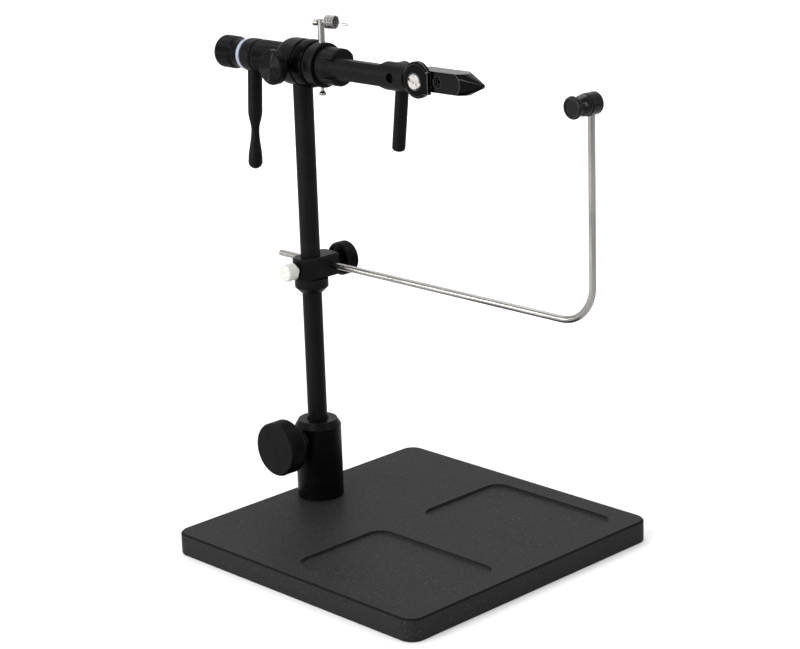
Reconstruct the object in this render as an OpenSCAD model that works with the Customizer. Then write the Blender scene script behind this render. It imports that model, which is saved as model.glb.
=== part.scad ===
// Rotary fly tying vise on a flat base, with a cam-closed pair of jaws, a crank,
// a material clip and a bobbin cradle on the stem.
// Origin at the bottom centre of the base, +Z up. The head axis runs along +X,
// from the tension knob at the back to the jaw tips at the front.

/* [Base] */
// Length of the base plate along X
base_l = 160; // [140:1:200]
// Width of the base plate along Y
base_w = 160; // [140:1:200]
// Thickness of the steel plate
plate_t = 10.1; // [8.5:0.1:14]
// Radius of the plate's corners in plan
base_corner_r = 7; // [4:0.5:12]
// Bevel along the plate's top edge
base_bevel = 0.8; // [0.4:0.1:1.4]
// Thickness of the rubber pad under the plate
pad_t = 0.8; // [0.6:0.1:3]
// Distance of the pad's edge from the plate's edge
pad_inset = 0.5; // [0.3:0.1:4]
// Length of each tool pocket along X
pocket_l = 76; // [50:0.5:90]
// Width of each tool pocket along Y
pocket_w = 54.5; // [40:0.5:60]
// Depth of the tool pockets
pocket_depth = 1.3; // [1:0.1:3]
// Corner radius of the tool pockets
pocket_corner_r = 7; // [3:0.5:8]
// Land between the two pockets
pocket_land = 27; // [16:1:32]
// Land between the pockets and the front edge of the plate
pocket_margin = 12; // [6:0.5:14]
// Bevel round the mouth of each pocket
pocket_lip = 0.4; // [0.3:0.1:1]

/* [Post] */
// Distance of the stem axis from the back edge of the plate
stem_inset = 16.2; // [14:0.2:30]
// Diameter of the post that holds the stem
post_d = 22.7; // [20:0.1:28]
// Height of the post above the plate
post_h = 39.7; // [34:0.1:50]
// Width of the bevel round the top of the post
post_bevel_w = 1.9; // [1:0.1:2.6]
// Height of the bevel round the top of the post
post_bevel_h = 3.1; // [1.5:0.1:5]
// Diameter of the countersunk mouth of the post
post_mouth_d = 11.2; // [10.6:0.1:13]
// Thickness of the solid floor in the post
post_floor_t = 7.3; // [6:0.1:12]
// Thread diameter of the bolt that holds the post
post_bolt_d = 6; // [5:0.5:8]
// Head diameter of the bolt that holds the post
post_bolt_head_d = 10; // [9:0.5:13]
// Head height of the bolt that holds the post
post_bolt_head_h = 4; // [3:0.5:5]
// Height of the stem lock screw above the plate
stem_lock_z = 30.7; // [26:0.1:33]
// Diameter of the stem lock knob
stem_lock_knob_d = 26.5; // [20:0.1:32]
// Thickness of the stem lock knob
stem_lock_knob_t = 9.4; // [5:0.1:12]
// Gap between the post and the stem lock knob's rim
stem_lock_reach = 8.2; // [5:0.05:14]
// Thread diameter of the stem lock screw
stem_lock_screw_d = 6; // [5:0.5:7]

/* [Stem] */
// Diameter of the stem
stem_d = 9.525; // [8:0.025:10]
// Length of the stem between the post floor and the head
stem_l = 199; // [180:1:240]
// Diameter of the threaded spigot on top of the stem
stem_spigot_d = 5.6; // [4:0.1:5.7]

/* [Stop collar and cradle clamp] */
// Height of the stop collar's top above the post
stop_rise = 71.4; // [40:0.1:90]
// Diameter of the stop collar
stop_d = 16.3; // [14:0.1:20]
// Height of the stop collar's cylindrical part
stop_h = 4.2; // [4:0.1:6]
// Height of the cone under the stop collar
stop_cone_h = 2.3; // [1:0.1:4]
// Thread diameter of the stop collar's grub screw
stop_screw_d = 2.5; // [2:0.5:3]
// Width of the cradle clamp along X
clamp_w = 12.7; // [12.2:0.1:16]
// Height of the cradle clamp
clamp_h = 10.7; // [10:0.1:14]
// Distance from the stem axis to the clamp's round end
clamp_near = 9.6; // [8:0.1:12]
// Distance from the stem axis to the cradle rod's axis
clamp_rod_y = 8.9; // [8.4:0.1:12]
// Wall of the clamp beyond the cradle rod's axis
clamp_wall = 5.4; // [4:0.1:7]
// Corner radius at the clamp's squared end, beyond the cradle rod
clamp_corner_r = 3; // [1:0.1:5]
// Diameter of the clamp knob
clamp_knob_d = 16.6; // [12:0.1:22]
// Thickness of the clamp knob
clamp_knob_t = 7.2; // [5:0.1:9]
// Thread diameter of the clamp knob's stud
clamp_stud_d = 4; // [3:0.5:5]
// Head diameter of the nylon thumb screw
nylon_head_d = 8.4; // [7:0.1:11]
// Head length of the nylon thumb screw
nylon_head_l = 5.9; // [4:0.1:7]
// Gap between the clamp and the nylon thumb screw's head
nylon_stand_off = 1.9; // [0.4:0.1:3]
// Thread diameter of the nylon thumb screw
nylon_thread_d = 4; // [3:0.5:5]

/* [Bobbin cradle] */
// Diameter of the cradle rod
rod_d = 3.175; // [2.5:0.025:4]
// Length of the rod behind the clamp
rod_tail = 25.5; // [21:0.5:40]
// Distance from the stem axis to the rod's upright
rod_reach = 170.5; // [140:0.1:200]
// Centre line radius of the rod's bend
rod_bend_r = 18; // [10:1:30]
// Height of the bobbin rest's axis above the straight rod
rest_rise = 97.4; // [60:0.1:130]
// Diameter of the bobbin rest's front disc
rest_disc_d = 10; // [8:0.1:14]
// Diameter of the bobbin rest's waist
rest_waist_d = 7.6; // [5:0.1:7.8]
// Diameter of the bobbin rest's body
rest_body_d = 10; // [8.6:0.1:14]
// Length of the whole bobbin rest
rest_l = 15.2; // [14:0.1:20]

/* [Head] */
// Diameter of the head body
head_d = 22.2; // [21:0.1:26]
// Length of the head body
head_l = 12.2; // [12:0.1:16]
// Distance of the head body's back face behind the stem axis
head_back = 9.3; // [9:0.1:11]
// Diameter of the polished front ring
ring_d = 22.6; // [21.6:0.1:26]
// Length of the polished front ring
ring_l = 8.4; // [7:0.1:10]
// Diameter of the knurled barrel behind the head body
barrel_d = 16.2; // [15:0.1:20]
// Length of the knurled barrel
barrel_l = 19.2; // [16:0.1:30]
// Diameter of the rotary shaft
shaft_d = 8; // [6:0.1:8.4]
// Outer diameter of the shaft's bushings
bushing_d = 12; // [11:0.1:12.6]
// Diameter of the head lock knob
head_lock_knob_d = 16.6; // [12:0.1:20]
// Thickness of the head lock knob
head_lock_knob_t = 4.4; // [3:0.1:7]
// Gap between the head body and the head lock knob's rim
head_lock_reach = 4.5; // [3:0.1:8]
// Thread diameter of the head lock screw
head_lock_screw_d = 5; // [4:0.5:6]

/* [Crank and tension knob] */
// Diameter of the crank hub
crank_hub_d = 16.1; // [15:0.1:20]
// Length of the crank hub along the shaft
crank_hub_l = 8.2; // [7.1:0.1:10]
// Diameter of the crank handle
handle_d = 7; // [5:0.1:7.1]
// Length of the crank handle from the shaft axis to the ball's end
handle_l = 55.2; // [44:0.1:70]
// Diameter of the handle's waist
handle_waist_d = 4; // [3:0.1:5]
// Angle of the handle from straight down, towards the near side
handle_angle = 3.4; // [0:0.2:10]
// Diameter of the nylon washer
washer_d = 14.8; // [12:0.1:16]
// Thickness of the nylon washer
washer_t = 1.9; // [1:0.1:3]
// Diameter of the tension knob's knurled grip
tension_d = 15.9; // [12:0.1:20]
// Length of the tension knob's knurled grip
tension_l = 9.8; // [8:0.1:14]
// Diameter of the tension knob's smooth neck
tension_neck_d = 13.4; // [11:0.1:14.4]
// Length of the tension knob's smooth neck
tension_neck_l = 5; // [4:0.1:9]

/* [Material clip] */
// Diameter of the turning collar that carries the clip
collar_d = 21; // [20:0.1:26]
// Length of the clip collar along the shaft
collar_l = 5.6; // [5:0.1:8]
// Diameter of the clip's upright post
clip_post_d = 3.175; // [2.5:0.025:4]
// Height of the clip post above the collar
clip_post_h = 10.8; // [8:0.1:20]
// Turn of the clip's spring away from the head axis, in degrees
clip_turn = 16; // [0:1:30]
// Mean radius of the material spring
spring_r = 2.95; // [2.6:0.05:4]
// Wire diameter of the material spring
spring_wire_d = 0.36; // [0.3:0.02:0.4]
// Distance from one curl of the material spring to the next
spring_pitch = 0.78; // [0.78:0.02:1.2]
// Number of curls in the material spring
spring_curls = 6; // [4:1:10]
// Reach of the wire guide beyond the spring
guide_reach = 6.3; // [4:0.1:14]

/* [Arm] */
// Diameter of the arm's hub
arm_hub_d = 17.6; // [16:0.1:20]
// Length of the arm's hub
arm_hub_l = 10; // [8:0.1:14]
// Distance of the hub's flat from the head axis
arm_hub_flat = 7.1; // [6:0.1:8]
// Radius of the arm's round outer side about the head axis
arm_r = 6.95; // [6.6:0.05:8]
// Distance from the hub's face to the jaw pivot
arm_reach = 53.1; // [50.5:0.1:60]
// Height of the arm's narrow part
arm_narrow_h = 9.6; // [8:0.1:10]
// Height of the arm's wide part
arm_wide_h = 13.1; // [12:0.1:13.2]
// Length over which the arm's outer side blends into its hub
arm_blend_l = 8; // [4:0.5:9]
// Distance of the arm's flat inner side from the head axis
arm_flat_y = 1.5; // [1.4:0.05:2]
// Distance from the cam's axis to the jaw pivot
cam_to_pivot = 15.4; // [15.2:0.1:16.4]
// Diameter of the cam's bearing hole in the arm
cam_hole_d = 4.8; // [4:0.1:5.4]

/* [Cam] */
// Diameter of the cam
cam_d = 12.8; // [12:0.1:13.2]
// Slope of the cam's working face, in degrees
cam_slope = 6; // [4:0.5:7]
// Diameter of the cam lever
lever_d = 6.2; // [4:0.1:6.2]
// Distance from the cam's axis to the lever's end
lever_l = 35.3; // [26:0.1:36]
// Lean of the lever from straight down, towards the stem
lever_angle = 7.2; // [0:0.2:12]

/* [Jaws] */
// Radius of the slot for the arm's tongue about the pivot
knuckle_r = 7.1; // [6.8:0.05:7.4]
// Radius of the jaw holder's round cheek
holder_r = 8.3; // [8:0.1:8.6]
// Width of the bevel round the holder's cheek
holder_bevel = 1.1; // [0.4:0.1:1.5]
// Distance from the pivot to the holder's square front end
holder_front = 8.2; // [7.9:0.1:8.6]
// Depth of the holder's front end under the pivot
holder_low = 5.2; // [4.8:0.1:5.4]
// Height of the holder's front end above the pivot
holder_high = 4.75; // [4.55:0.05:5.2]
// Distance of the holder's outer face from the jaw split
holder_face_y = 6.6; // [6.4:0.1:7]
// Thickness of one jaw
jaw_t = 4.4; // [4.3:0.05:5]
// Height of the jaws
jaw_h = 9.5; // [9:0.1:9.7]
// Height of the jaws' middle above the pivot
jaw_rise = 0.6; // [0:0.1:0.9]
// Distance from the pivot to the jaw tips
jaw_reach = 36.5; // [34:0.1:44]
// Length of the tapered nose
nose_l = 12.5; // [11:0.1:13]
// Diameter of the nose where its taper starts
nose_d = 13; // [13:0.1:13.6]
// Diameter of the blunt tip
nose_tip_d = 2.4; // [1.4:0.1:3]
// Upward tilt of the jaws at rest, in degrees
jaw_tilt = 0.4; // [0:0.1:2]
// Angle by which the far jaw can open, in degrees
jaw_open = 1.8; // [1:0.1:2]
// Diameter of the slotted pivot screw's head
pivot_head_d = 7.1; // [6:0.1:7.6]
// Diameter of the pivot screw's shank
pivot_shank_d = 4; // [3:0.1:5]
// Diameter of the jaw adjusting screw
fulcrum_d = 3.4; // [3:0.1:4]

/* [Hidden] */
$fn = 72;

// Clearances and cuts shared by all pieces
run_gap = 0.05;
seat_gap = 0.02;
face_gap = 0.1;
spin_gap = 0.3;
over = 1;
arc_steps = 5;
black = "#17181a";

// Places along Z
base_h = plate_t + pad_t;
post_top = base_h + post_h;
stem_bottom = base_h + post_floor_t;
stem_seat = 1.5;
head_z = stem_bottom + stem_l + head_d / 2 - stem_seat;
stem_x = stem_inset - base_l / 2;

// Places along the head axis, counted from the stem axis
head_x0 = -head_back;
head_x1 = head_x0 + head_l;
ring_x1 = head_x1 + ring_l;
collar_x0 = ring_x1 + spin_gap;
collar_x1 = collar_x0 + collar_l;
arm_neck_l = 0.6;
arm_neck_d = arm_hub_d - 2.5 * arm_neck_l;
arm_x0 = collar_x1 + face_gap;
hub_x0 = arm_x0 + arm_neck_l;
hub_x1 = hub_x0 + arm_hub_l;
pivot_x = hub_x1 + arm_reach;
cam_x = pivot_x - cam_to_pivot;
barrel_x0 = head_x0 - barrel_l;
crank_x1 = barrel_x0 - spin_gap;
crank_x0 = crank_x1 - crank_hub_l;
washer_x1 = crank_x0 - face_gap;
washer_x0 = washer_x1 - washer_t;
tension_x1 = washer_x0 - face_gap;
clip_x = (collar_x0 + collar_x1) / 2 - seat_gap;

// Places of the cradle
stop_top = post_top + stop_rise;
clamp_z0 = stop_top + face_gap;
clamp_z = clamp_z0 + clamp_h / 2;

module turned(profile) {
    rotate_extrude() polygon(profile);
}

module along_x() {
    rotate([0, 90, 0]) children();
}

module along_y() {
    rotate([-90, 0, 0]) children();
}

module away_y() {
    rotate([90, 0, 0]) children();
}

module at_stem() {
    translate([stem_x, 0, 0]) children();
}

module at_head() {
    translate([stem_x, 0, head_z]) children();
}

module at_jaws() {
    translate([stem_x + pivot_x, 0, head_z]) rotate([0, -jaw_tilt, 0]) children();
}

// The clip's eye, where children count X along the spring from the clip post's axis
module at_clip() {
    at_head() translate([clip_x, 0, clip_eye_z]) rotate([0, 0, clip_turn]) children();
}

// Points of an arc about (cr, cz)
function arc(cr, cz, r, a0, a1) =
    [for (i = [0:arc_steps]) let (a = a0 + (a1 - a0) * i / arc_steps) [cr + r * cos(a), cz + r * sin(a)]];

// A disc from z0 to z1 with rounded edges at both ends
function rounded_disc(r, z0, z1, e0, e1) =
    concat([[0, z0]], arc(r - e0, z0 + e0, e0, -90, 0), arc(r - e1, z1 - e1, e1, 0, 90), [[0, z1]]);

module rounded_plan(l, w, r) {
    union() {
        square([l - 2 * r, w], center = true);
        square([l, w - 2 * r], center = true);
        for (sx = [-1, 1], sy = [-1, 1]) translate([sx * (l / 2 - r), sy * (w / 2 - r)]) circle(r);
    }
}

// A layer of height b whose walls lean in by b, with the full plan at its foot
module bevel_layer(l, w, r, b) {
    union() {
        rotate([90, 0, 90]) translate([0, 0, r - l / 2]) linear_extrude(l - 2 * r)
            polygon([[-w / 2, 0], [w / 2, 0], [w / 2 - b, b], [b - w / 2, b]]);
        rotate([90, 0, 0]) translate([0, 0, r - w / 2]) linear_extrude(w - 2 * r)
            polygon([[-l / 2, 0], [l / 2, 0], [l / 2 - b, b], [b - l / 2, b]]);
        for (sx = [-1, 1], sy = [-1, 1]) translate([sx * (l / 2 - r), sy * (w / 2 - r), 0])
            cylinder(r1 = r, r2 = r - b, h = b);
    }
}

module screw_head_slot(w, depth, l) {
    translate([-l / 2, -w / 2, -depth]) cube([l, w, depth + over]);
}

// Base

bolt_head_gap = 0.5;
pad_hole_d = post_bolt_head_d + 4 * bolt_head_gap;
bolt_recess_d = post_bolt_head_d + 2 * bolt_head_gap;
bolt_recess_h = post_bolt_head_h + bolt_head_gap / 2;
pocket_x = base_l / 2 - pocket_margin - pocket_l / 2;
pocket_y = pocket_land / 2 + pocket_w / 2;

module pocket_cut() {
    translate([0, 0, base_h - pocket_depth])
        linear_extrude(pocket_depth + over) rounded_plan(pocket_l, pocket_w, pocket_corner_r);
    translate([0, 0, base_h]) mirror([0, 0, 1]) bevel_layer(
        pocket_l + 2 * pocket_lip, pocket_w + 2 * pocket_lip, pocket_corner_r + pocket_lip, pocket_lip);
}

module base_plate() {
    color(black) difference() {
        union() {
            translate([0, 0, pad_t])
                linear_extrude(plate_t - base_bevel) rounded_plan(base_l, base_w, base_corner_r);
            translate([0, 0, base_h - base_bevel]) bevel_layer(base_l, base_w, base_corner_r, base_bevel);
        }
        for (s = [-1, 1]) translate([pocket_x, s * pocket_y, 0]) pocket_cut();
        at_stem() translate([0, 0, -over])
            cylinder(d = post_bolt_d + 2 * bolt_head_gap, h = base_h + 2 * over);
        at_stem() translate([0, 0, pad_t - over]) cylinder(d = bolt_recess_d, h = bolt_recess_h + over);
    }
}

module base_pad() {
    color("#101010") difference() {
        linear_extrude(pad_t)
            rounded_plan(base_l - 2 * pad_inset, base_w - 2 * pad_inset, base_corner_r - pad_inset);
        at_stem() translate([0, 0, -over]) cylinder(d = pad_hole_d, h = pad_t + 2 * over);
    }
}

bolt_end_gap = 1.3;
bolt_bite = post_floor_t - bolt_end_gap;
bolt_socket_d = post_bolt_head_d / 2;

module post_bolt() {
    color("silver") at_stem() difference() {
        union() {
            translate([0, 0, pad_t + bolt_recess_h - post_bolt_head_h])
                cylinder(d = post_bolt_head_d, h = post_bolt_head_h);
            translate([0, 0, pad_t + bolt_recess_h - seat_gap])
                cylinder(d = post_bolt_d, h = base_h + bolt_bite - pad_t - bolt_recess_h);
        }
        translate([0, 0, pad_t - over])
            cylinder(d = bolt_socket_d, h = over + post_bolt_head_h / 2, $fn = 6);
    }
}

// Post and stem lock

post_foot_bevel = 0.5;

module stem_post() {
    r = post_d / 2;
    color(black) at_stem() difference() {
        turned([
            [0, base_h + face_gap / 2], [r - post_foot_bevel, base_h + face_gap / 2],
            [r, base_h + post_foot_bevel + face_gap / 2], [r, post_top - post_bevel_h],
            [r - post_bevel_w, post_top], [0, post_top]]);
        translate([0, 0, stem_bottom - face_gap]) cylinder(d = stem_d + 2 * run_gap, h = post_h + over);
        translate([0, 0, post_top - (post_mouth_d - stem_d) / 2])
            cylinder(d1 = stem_d, d2 = post_mouth_d + 2 * over, h = (post_mouth_d - stem_d) / 2 + over);
        cylinder(d = post_bolt_d + 2 * run_gap, h = base_h + bolt_bite + face_gap);
        translate([0, 0, base_h + stem_lock_z])
            away_y() cylinder(d = stem_lock_screw_d + 2 * run_gap, h = post_d);
    }
}

knob_edge = 1.2;
knob_stand_off = 0.6;
screw_end_gap = 2;
stem_lock_hub_d = 2 * stem_lock_screw_d;
stem_lock_y0 = post_d / 2 + stem_lock_reach;
stem_lock_hub_y0 = post_d / 2 + knob_stand_off;

module at_stem_lock() {
    translate([stem_x, 0, base_h + stem_lock_z]) away_y() children();
}

module stem_lock_knob() {
    r = stem_lock_knob_d / 2;
    hub_r = stem_lock_hub_d / 2;
    face = stem_lock_y0 + stem_lock_knob_t;
    color(black) at_stem_lock() difference() {
        turned(concat(
            [[0, stem_lock_hub_y0], [hub_r, stem_lock_hub_y0], [hub_r, stem_lock_y0]],
            arc(r - knob_edge, stem_lock_y0 + knob_edge, knob_edge, -90, 0),
            arc(r - knob_edge, face - knob_edge, knob_edge, 0, 90),
            [[0, face]]));
        translate([0, 0, stem_lock_hub_y0 - over])
            cylinder(d = stem_lock_screw_d + 2 * seat_gap, h = stem_lock_reach + over);
    }
}

module stem_lock_screw() {
    tip = stem_d / 2 + face_gap;
    color("silver") at_stem_lock() translate([0, 0, tip])
        cylinder(d = stem_lock_screw_d, h = stem_lock_hub_y0 + stem_lock_reach - screw_end_gap - tip);
}

// Stem, stop collar and clamp

spigot_h = head_d / 2 - stem_seat - bushing_d / 2 - 3 * face_gap;
stem_foot_bevel = 0.6;

module stem() {
    r = stem_d / 2;
    top = stem_bottom + stem_l;
    color(black) at_stem() turned([
        [0, stem_bottom], [r - stem_foot_bevel, stem_bottom], [r, stem_bottom + stem_foot_bevel],
        [r, top], [stem_spigot_d / 2, top], [stem_spigot_d / 2, top + spigot_h], [0, top + spigot_h]]);
}

stop_neck_d = 11.8;
stop_edge = 0.4;
stop_screw_z = stop_top - stop_h / 2;
stop_screw_socket_d = stop_screw_d / 2;

module stop_collar() {
    r = stop_d / 2;
    foot = stop_top - stop_h;
    color(black) at_stem() difference() {
        turned([
            [0, foot - stop_cone_h], [stop_neck_d / 2, foot - stop_cone_h], [r, foot],
            [r, stop_top - stop_edge], [r - stop_edge, stop_top], [0, stop_top]]);
        translate([0, 0, foot - stop_cone_h - over])
            cylinder(d = stem_d + 2 * run_gap, h = stop_h + stop_cone_h + 2 * over);
        translate([0, 0, stop_screw_z]) along_y() cylinder(d = stop_screw_d + 2 * run_gap, h = stop_d);
    }
}

module stop_collar_screw() {
    tip = stem_d / 2 + face_gap;
    l = stop_d / 2 - tip - face_gap;
    color("silver") translate([stem_x, tip, stop_screw_z]) along_y() difference() {
        cylinder(d = stop_screw_d, h = l);
        translate([0, 0, l / 2]) cylinder(d = stop_screw_socket_d, h = l, $fn = 6);
    }
}

clamp_edge = 0.6;

// The clamp seen from above: a round end by the nylon screw and a squared end by the rod
module clamp_plan(inset) {
    w = clamp_w - 2 * inset;
    near = clamp_near - inset;
    far = clamp_rod_y + clamp_wall - inset;
    cr = clamp_corner_r;
    union() {
        translate([0, w / 2 - near]) circle(w / 2);
        translate([-w / 2, w / 2 - near]) square([w, far - cr + near - w / 2]);
        translate([cr - w / 2, far - 2 * cr]) square([w - 2 * cr, 2 * cr]);
        for (s = [-1, 1]) translate([s * (w / 2 - cr), far - cr]) circle(cr);
    }
}

module cradle_clamp() {
    color(black) at_stem() difference() {
        union() {
            translate([0, 0, clamp_z0]) linear_extrude(clamp_h) clamp_plan(clamp_edge);
            translate([0, 0, clamp_z0 + clamp_edge]) linear_extrude(clamp_h - 2 * clamp_edge) clamp_plan(0);
        }
        translate([0, 0, clamp_z0 - over]) cylinder(d = stem_d + 2 * run_gap, h = clamp_h + 2 * over);
        translate([-clamp_w, clamp_rod_y, clamp_z])
            along_x() cylinder(d = rod_d + 2 * run_gap, h = 2 * clamp_w);
        translate([0, clamp_rod_y, clamp_z])
            along_y() cylinder(d = clamp_stud_d + 2 * run_gap, h = clamp_wall + over);
        translate([0, 0, clamp_z])
            away_y() cylinder(d = nylon_thread_d + 2 * run_gap, h = clamp_near + over);
    }
}

clamp_end_y = clamp_rod_y + clamp_wall;
clamp_hub_d = 9;
clamp_hub_l = 3;
clamp_knob_edge = 0.9;
clamp_hub_y0 = clamp_end_y + spin_gap;
clamp_knob_y0 = clamp_hub_y0 + clamp_hub_l;

module clamp_knob() {
    r = clamp_knob_d / 2;
    e = clamp_knob_edge;
    face = clamp_knob_y0 + clamp_knob_t;
    color(black) translate([stem_x, 0, clamp_z]) along_y() difference() {
        turned([
            [0, clamp_hub_y0], [clamp_hub_d / 2, clamp_hub_y0], [clamp_hub_d / 2, clamp_knob_y0 + e],
            [r - 2 * e, clamp_knob_y0 + e], [r - 2 * e, clamp_knob_y0], [r - e, clamp_knob_y0],
            [r, clamp_knob_y0 + e], [r, face - e], [r - e, face], [0, face]]);
        translate([0, 0, clamp_hub_y0 - over])
            cylinder(d = clamp_stud_d + 2 * seat_gap, h = clamp_hub_l + clamp_knob_t / 2 + over);
    }
}

module clamp_stud() {
    tip = clamp_rod_y + rod_d / 2 + face_gap;
    color("silver") translate([stem_x, tip, clamp_z]) along_y()
        cylinder(d = clamp_stud_d, h = clamp_knob_y0 + clamp_knob_t / 2 - face_gap - tip);
}

nylon_head_edge = 0.9;
nylon_dimple_d = 1.2;
nylon_dimple_depth = 0.3;

module nylon_screw() {
    tip = stem_d / 2 + face_gap;
    root = clamp_near + nylon_stand_off;
    edge = nylon_head_edge;
    face = root + nylon_head_l;
    color("white") translate([stem_x, 0, clamp_z]) away_y() difference() {
        turned(concat(
            [[0, tip], [nylon_thread_d / 2, tip], [nylon_thread_d / 2, root]],
            arc(nylon_head_d / 2 - edge / 2, root + edge / 2, edge / 2, -90, 0),
            arc(nylon_head_d / 2 - edge, face - edge, edge, 0, 90),
            [[0, face]]));
        translate([0, 0, face - nylon_dimple_depth])
            cylinder(d1 = 0, d2 = nylon_dimple_d, h = nylon_dimple_depth);
    }
}

// Bobbin cradle

rod_end_bevel = 0.4;
rest_z = clamp_z + rest_rise;
rod_top = rest_rise + rod_d / 2;

module cradle_rod() {
    r = rod_d / 2;
    x0 = -clamp_w / 2 - rod_tail;
    x1 = rod_reach - rod_bend_r;
    color("silver") translate([stem_x, clamp_rod_y, clamp_z]) union() {
        translate([x0, 0, 0]) along_x() turned([
            [0, 0], [r - rod_end_bevel, 0], [r, rod_end_bevel], [r, x1 - x0], [0, x1 - x0]]);
        translate([x1, 0, rod_bend_r]) away_y() rotate([0, 0, -90])
            rotate_extrude(angle = 90) translate([rod_bend_r, 0]) circle(r);
        translate([rod_reach, 0, rod_bend_r]) cylinder(r = r, h = rod_top - rod_bend_r);
    }
}

rest_back = 2.5;
rest_disc_t = 1.8;
rest_rim = rest_disc_t / 2;
rest_dish = 0.5;
rest_neck_l = 1.6;
rest_shoulder_l = 5.2;
rest_edge = 0.5;

module bobbin_rest() {
    y1 = clamp_rod_y + rest_back;
    y0 = y1 - rest_l;
    disc_r = rest_disc_d / 2;
    waist_r = rest_waist_d / 2;
    body_r = rest_body_d / 2;
    shoulder_r = body_r - rest_edge / 2;
    neck_y = rest_disc_t + rest_neck_l;
    body_y = neck_y + rest_shoulder_l;
    flare_l = rest_shoulder_l - rest_edge;
    color(black) difference() {
        translate([stem_x + rod_reach, y0, rest_z]) along_y() turned(concat(
            [[0, rest_dish], [disc_r - 2 * rest_rim, rest_dish]],
            arc(disc_r - rest_rim, rest_rim, rest_rim, -90, 0),
            arc(disc_r - rest_rim, rest_rim, rest_rim, 0, 60),
            [[waist_r, rest_disc_t + rest_edge], [waist_r, neck_y]],
            [for (i = [1:arc_steps]) let (t = i / arc_steps)
                [waist_r + (shoulder_r - waist_r) * sin(90 * t), neck_y + flare_l * t]],
            [[shoulder_r - rest_edge, body_y], [body_r - rest_edge, body_y]],
            arc(body_r - rest_edge, body_y + rest_edge, rest_edge, -90, 0),
            arc(body_r - rest_edge, rest_l - rest_edge, rest_edge, 0, 90),
            [[0, rest_l]]));
        translate([stem_x + rod_reach, clamp_rod_y, rest_z - rest_body_d])
            cylinder(d = rod_d + 2 * seat_gap, h = rest_body_d + rod_d / 2 + face_gap);
    }
}

// Head

shoulder_share = 0.42;
groove_w = 0.5;
ring_crown = 1.2;
head_shoulder = shoulder_share * head_l;

module head_body() {
    r = head_d / 2;
    color(black) at_head() difference() {
        along_x() turned(concat(
            [[0, head_x0]], [[barrel_d / 2 + face_gap, head_x0]],
            [for (i = [0:arc_steps]) let (a = 90 * i / arc_steps)
                [barrel_d / 2 + (r - barrel_d / 2) * sin(a), head_x0 + head_shoulder * (1 - cos(a))]],
            [[r, head_x1 - groove_w], [r - groove_w, head_x1], [0, head_x1]]));
        translate([head_x0 - over, 0, 0])
            along_x() cylinder(d = bushing_d + 2 * seat_gap, h = head_l + 2 * over);
        translate([0, 0, -head_d / 2 - over]) cylinder(d = stem_d + 2 * seat_gap, h = stem_seat + over);
        translate([0, 0, -head_d / 2]) cylinder(d = stem_spigot_d + 2 * seat_gap, h = head_d / 2);
        away_y() cylinder(d = head_lock_screw_d + 2 * run_gap, h = head_d);
    }
}

module front_ring() {
    r = ring_d / 2;
    color("#26272a") at_head() difference() {
        along_x() turned(concat(
            [[0, head_x1 + seat_gap], [r - ring_crown, head_x1 + seat_gap]],
            [for (i = [0:2 * arc_steps]) let (s = i / arc_steps - 1)
                [r - ring_crown * s * s * s * s, head_x1 + groove_w + (ring_l - groove_w) * (s + 1) / 2]],
            [[0, ring_x1]]));
        translate([head_x1 - over, 0, 0])
            along_x() cylinder(d = bushing_d + 2 * seat_gap, h = ring_l + 2 * over);
        translate([0, 0, -head_d / 2 - over]) cylinder(d = stem_d + 2 * seat_gap, h = stem_seat + over);
    }
}

barrel_edge = 1;

module rear_barrel() {
    r = barrel_d / 2;
    color(black) at_head() difference() {
        along_x() turned([
            [0, barrel_x0], [r - barrel_edge, barrel_x0], [r, barrel_x0 + barrel_edge],
            [r, head_x0 - seat_gap], [0, head_x0 - seat_gap]]);
        translate([barrel_x0 - over, 0, 0])
            along_x() cylinder(d = bushing_d + 2 * seat_gap, h = barrel_l + 2 * over);
    }
}

bushing_share = 0.7;
bushing_rear_l = bushing_share * barrel_l;
bushing_front_l = bushing_share * ring_l;

module bushing(x0, l) {
    translate([x0, 0, 0]) along_x() difference() {
        cylinder(d = bushing_d, h = l);
        translate([0, 0, -over]) cylinder(d = shaft_d + 2 * run_gap, h = l + 2 * over);
    }
}

module shaft_bushings() {
    color("goldenrod") at_head() union() {
        bushing(barrel_x0 + face_gap, bushing_rear_l);
        bushing(ring_x1 - face_gap - bushing_front_l, bushing_front_l);
    }
}

arm_bore_share = 0.65;
shaft_x0 = tension_x1 - tension_neck_l - tension_l / 2;
shaft_x1 = hub_x0 + arm_bore_share * arm_hub_l;

module rotary_shaft() {
    color("silver") at_head() translate([shaft_x0, 0, 0])
        along_x() cylinder(d = shaft_d, h = shaft_x1 - shaft_x0);
}

head_lock_hub_d = 1.7 * head_lock_screw_d;
head_lock_edge = 0.5;
head_lock_hub_y0 = head_d / 2 + spin_gap;
head_lock_y0 = head_d / 2 + head_lock_reach;

module head_lock_knob() {
    r = head_lock_knob_d / 2;
    hub_r = head_lock_hub_d / 2;
    e = head_lock_edge;
    face = head_lock_y0 + head_lock_knob_t;
    color(black) at_head() away_y() difference() {
        turned([
            [0, head_lock_hub_y0], [hub_r, head_lock_hub_y0], [hub_r, head_lock_y0],
            [r - e, head_lock_y0], [r, head_lock_y0 + e], [r, face - e], [r - e, face], [0, face]]);
        translate([0, 0, head_lock_hub_y0 - over])
            cylinder(d = head_lock_screw_d + 2 * seat_gap, h = head_lock_reach + over);
    }
}

module head_lock_screw() {
    tip = shaft_d / 2 + face_gap;
    color("silver") at_head() away_y() translate([0, 0, tip])
        cylinder(d = head_lock_screw_d, h = head_lock_y0 + seat_gap - tip);
}

// Crank and tension knob

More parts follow.
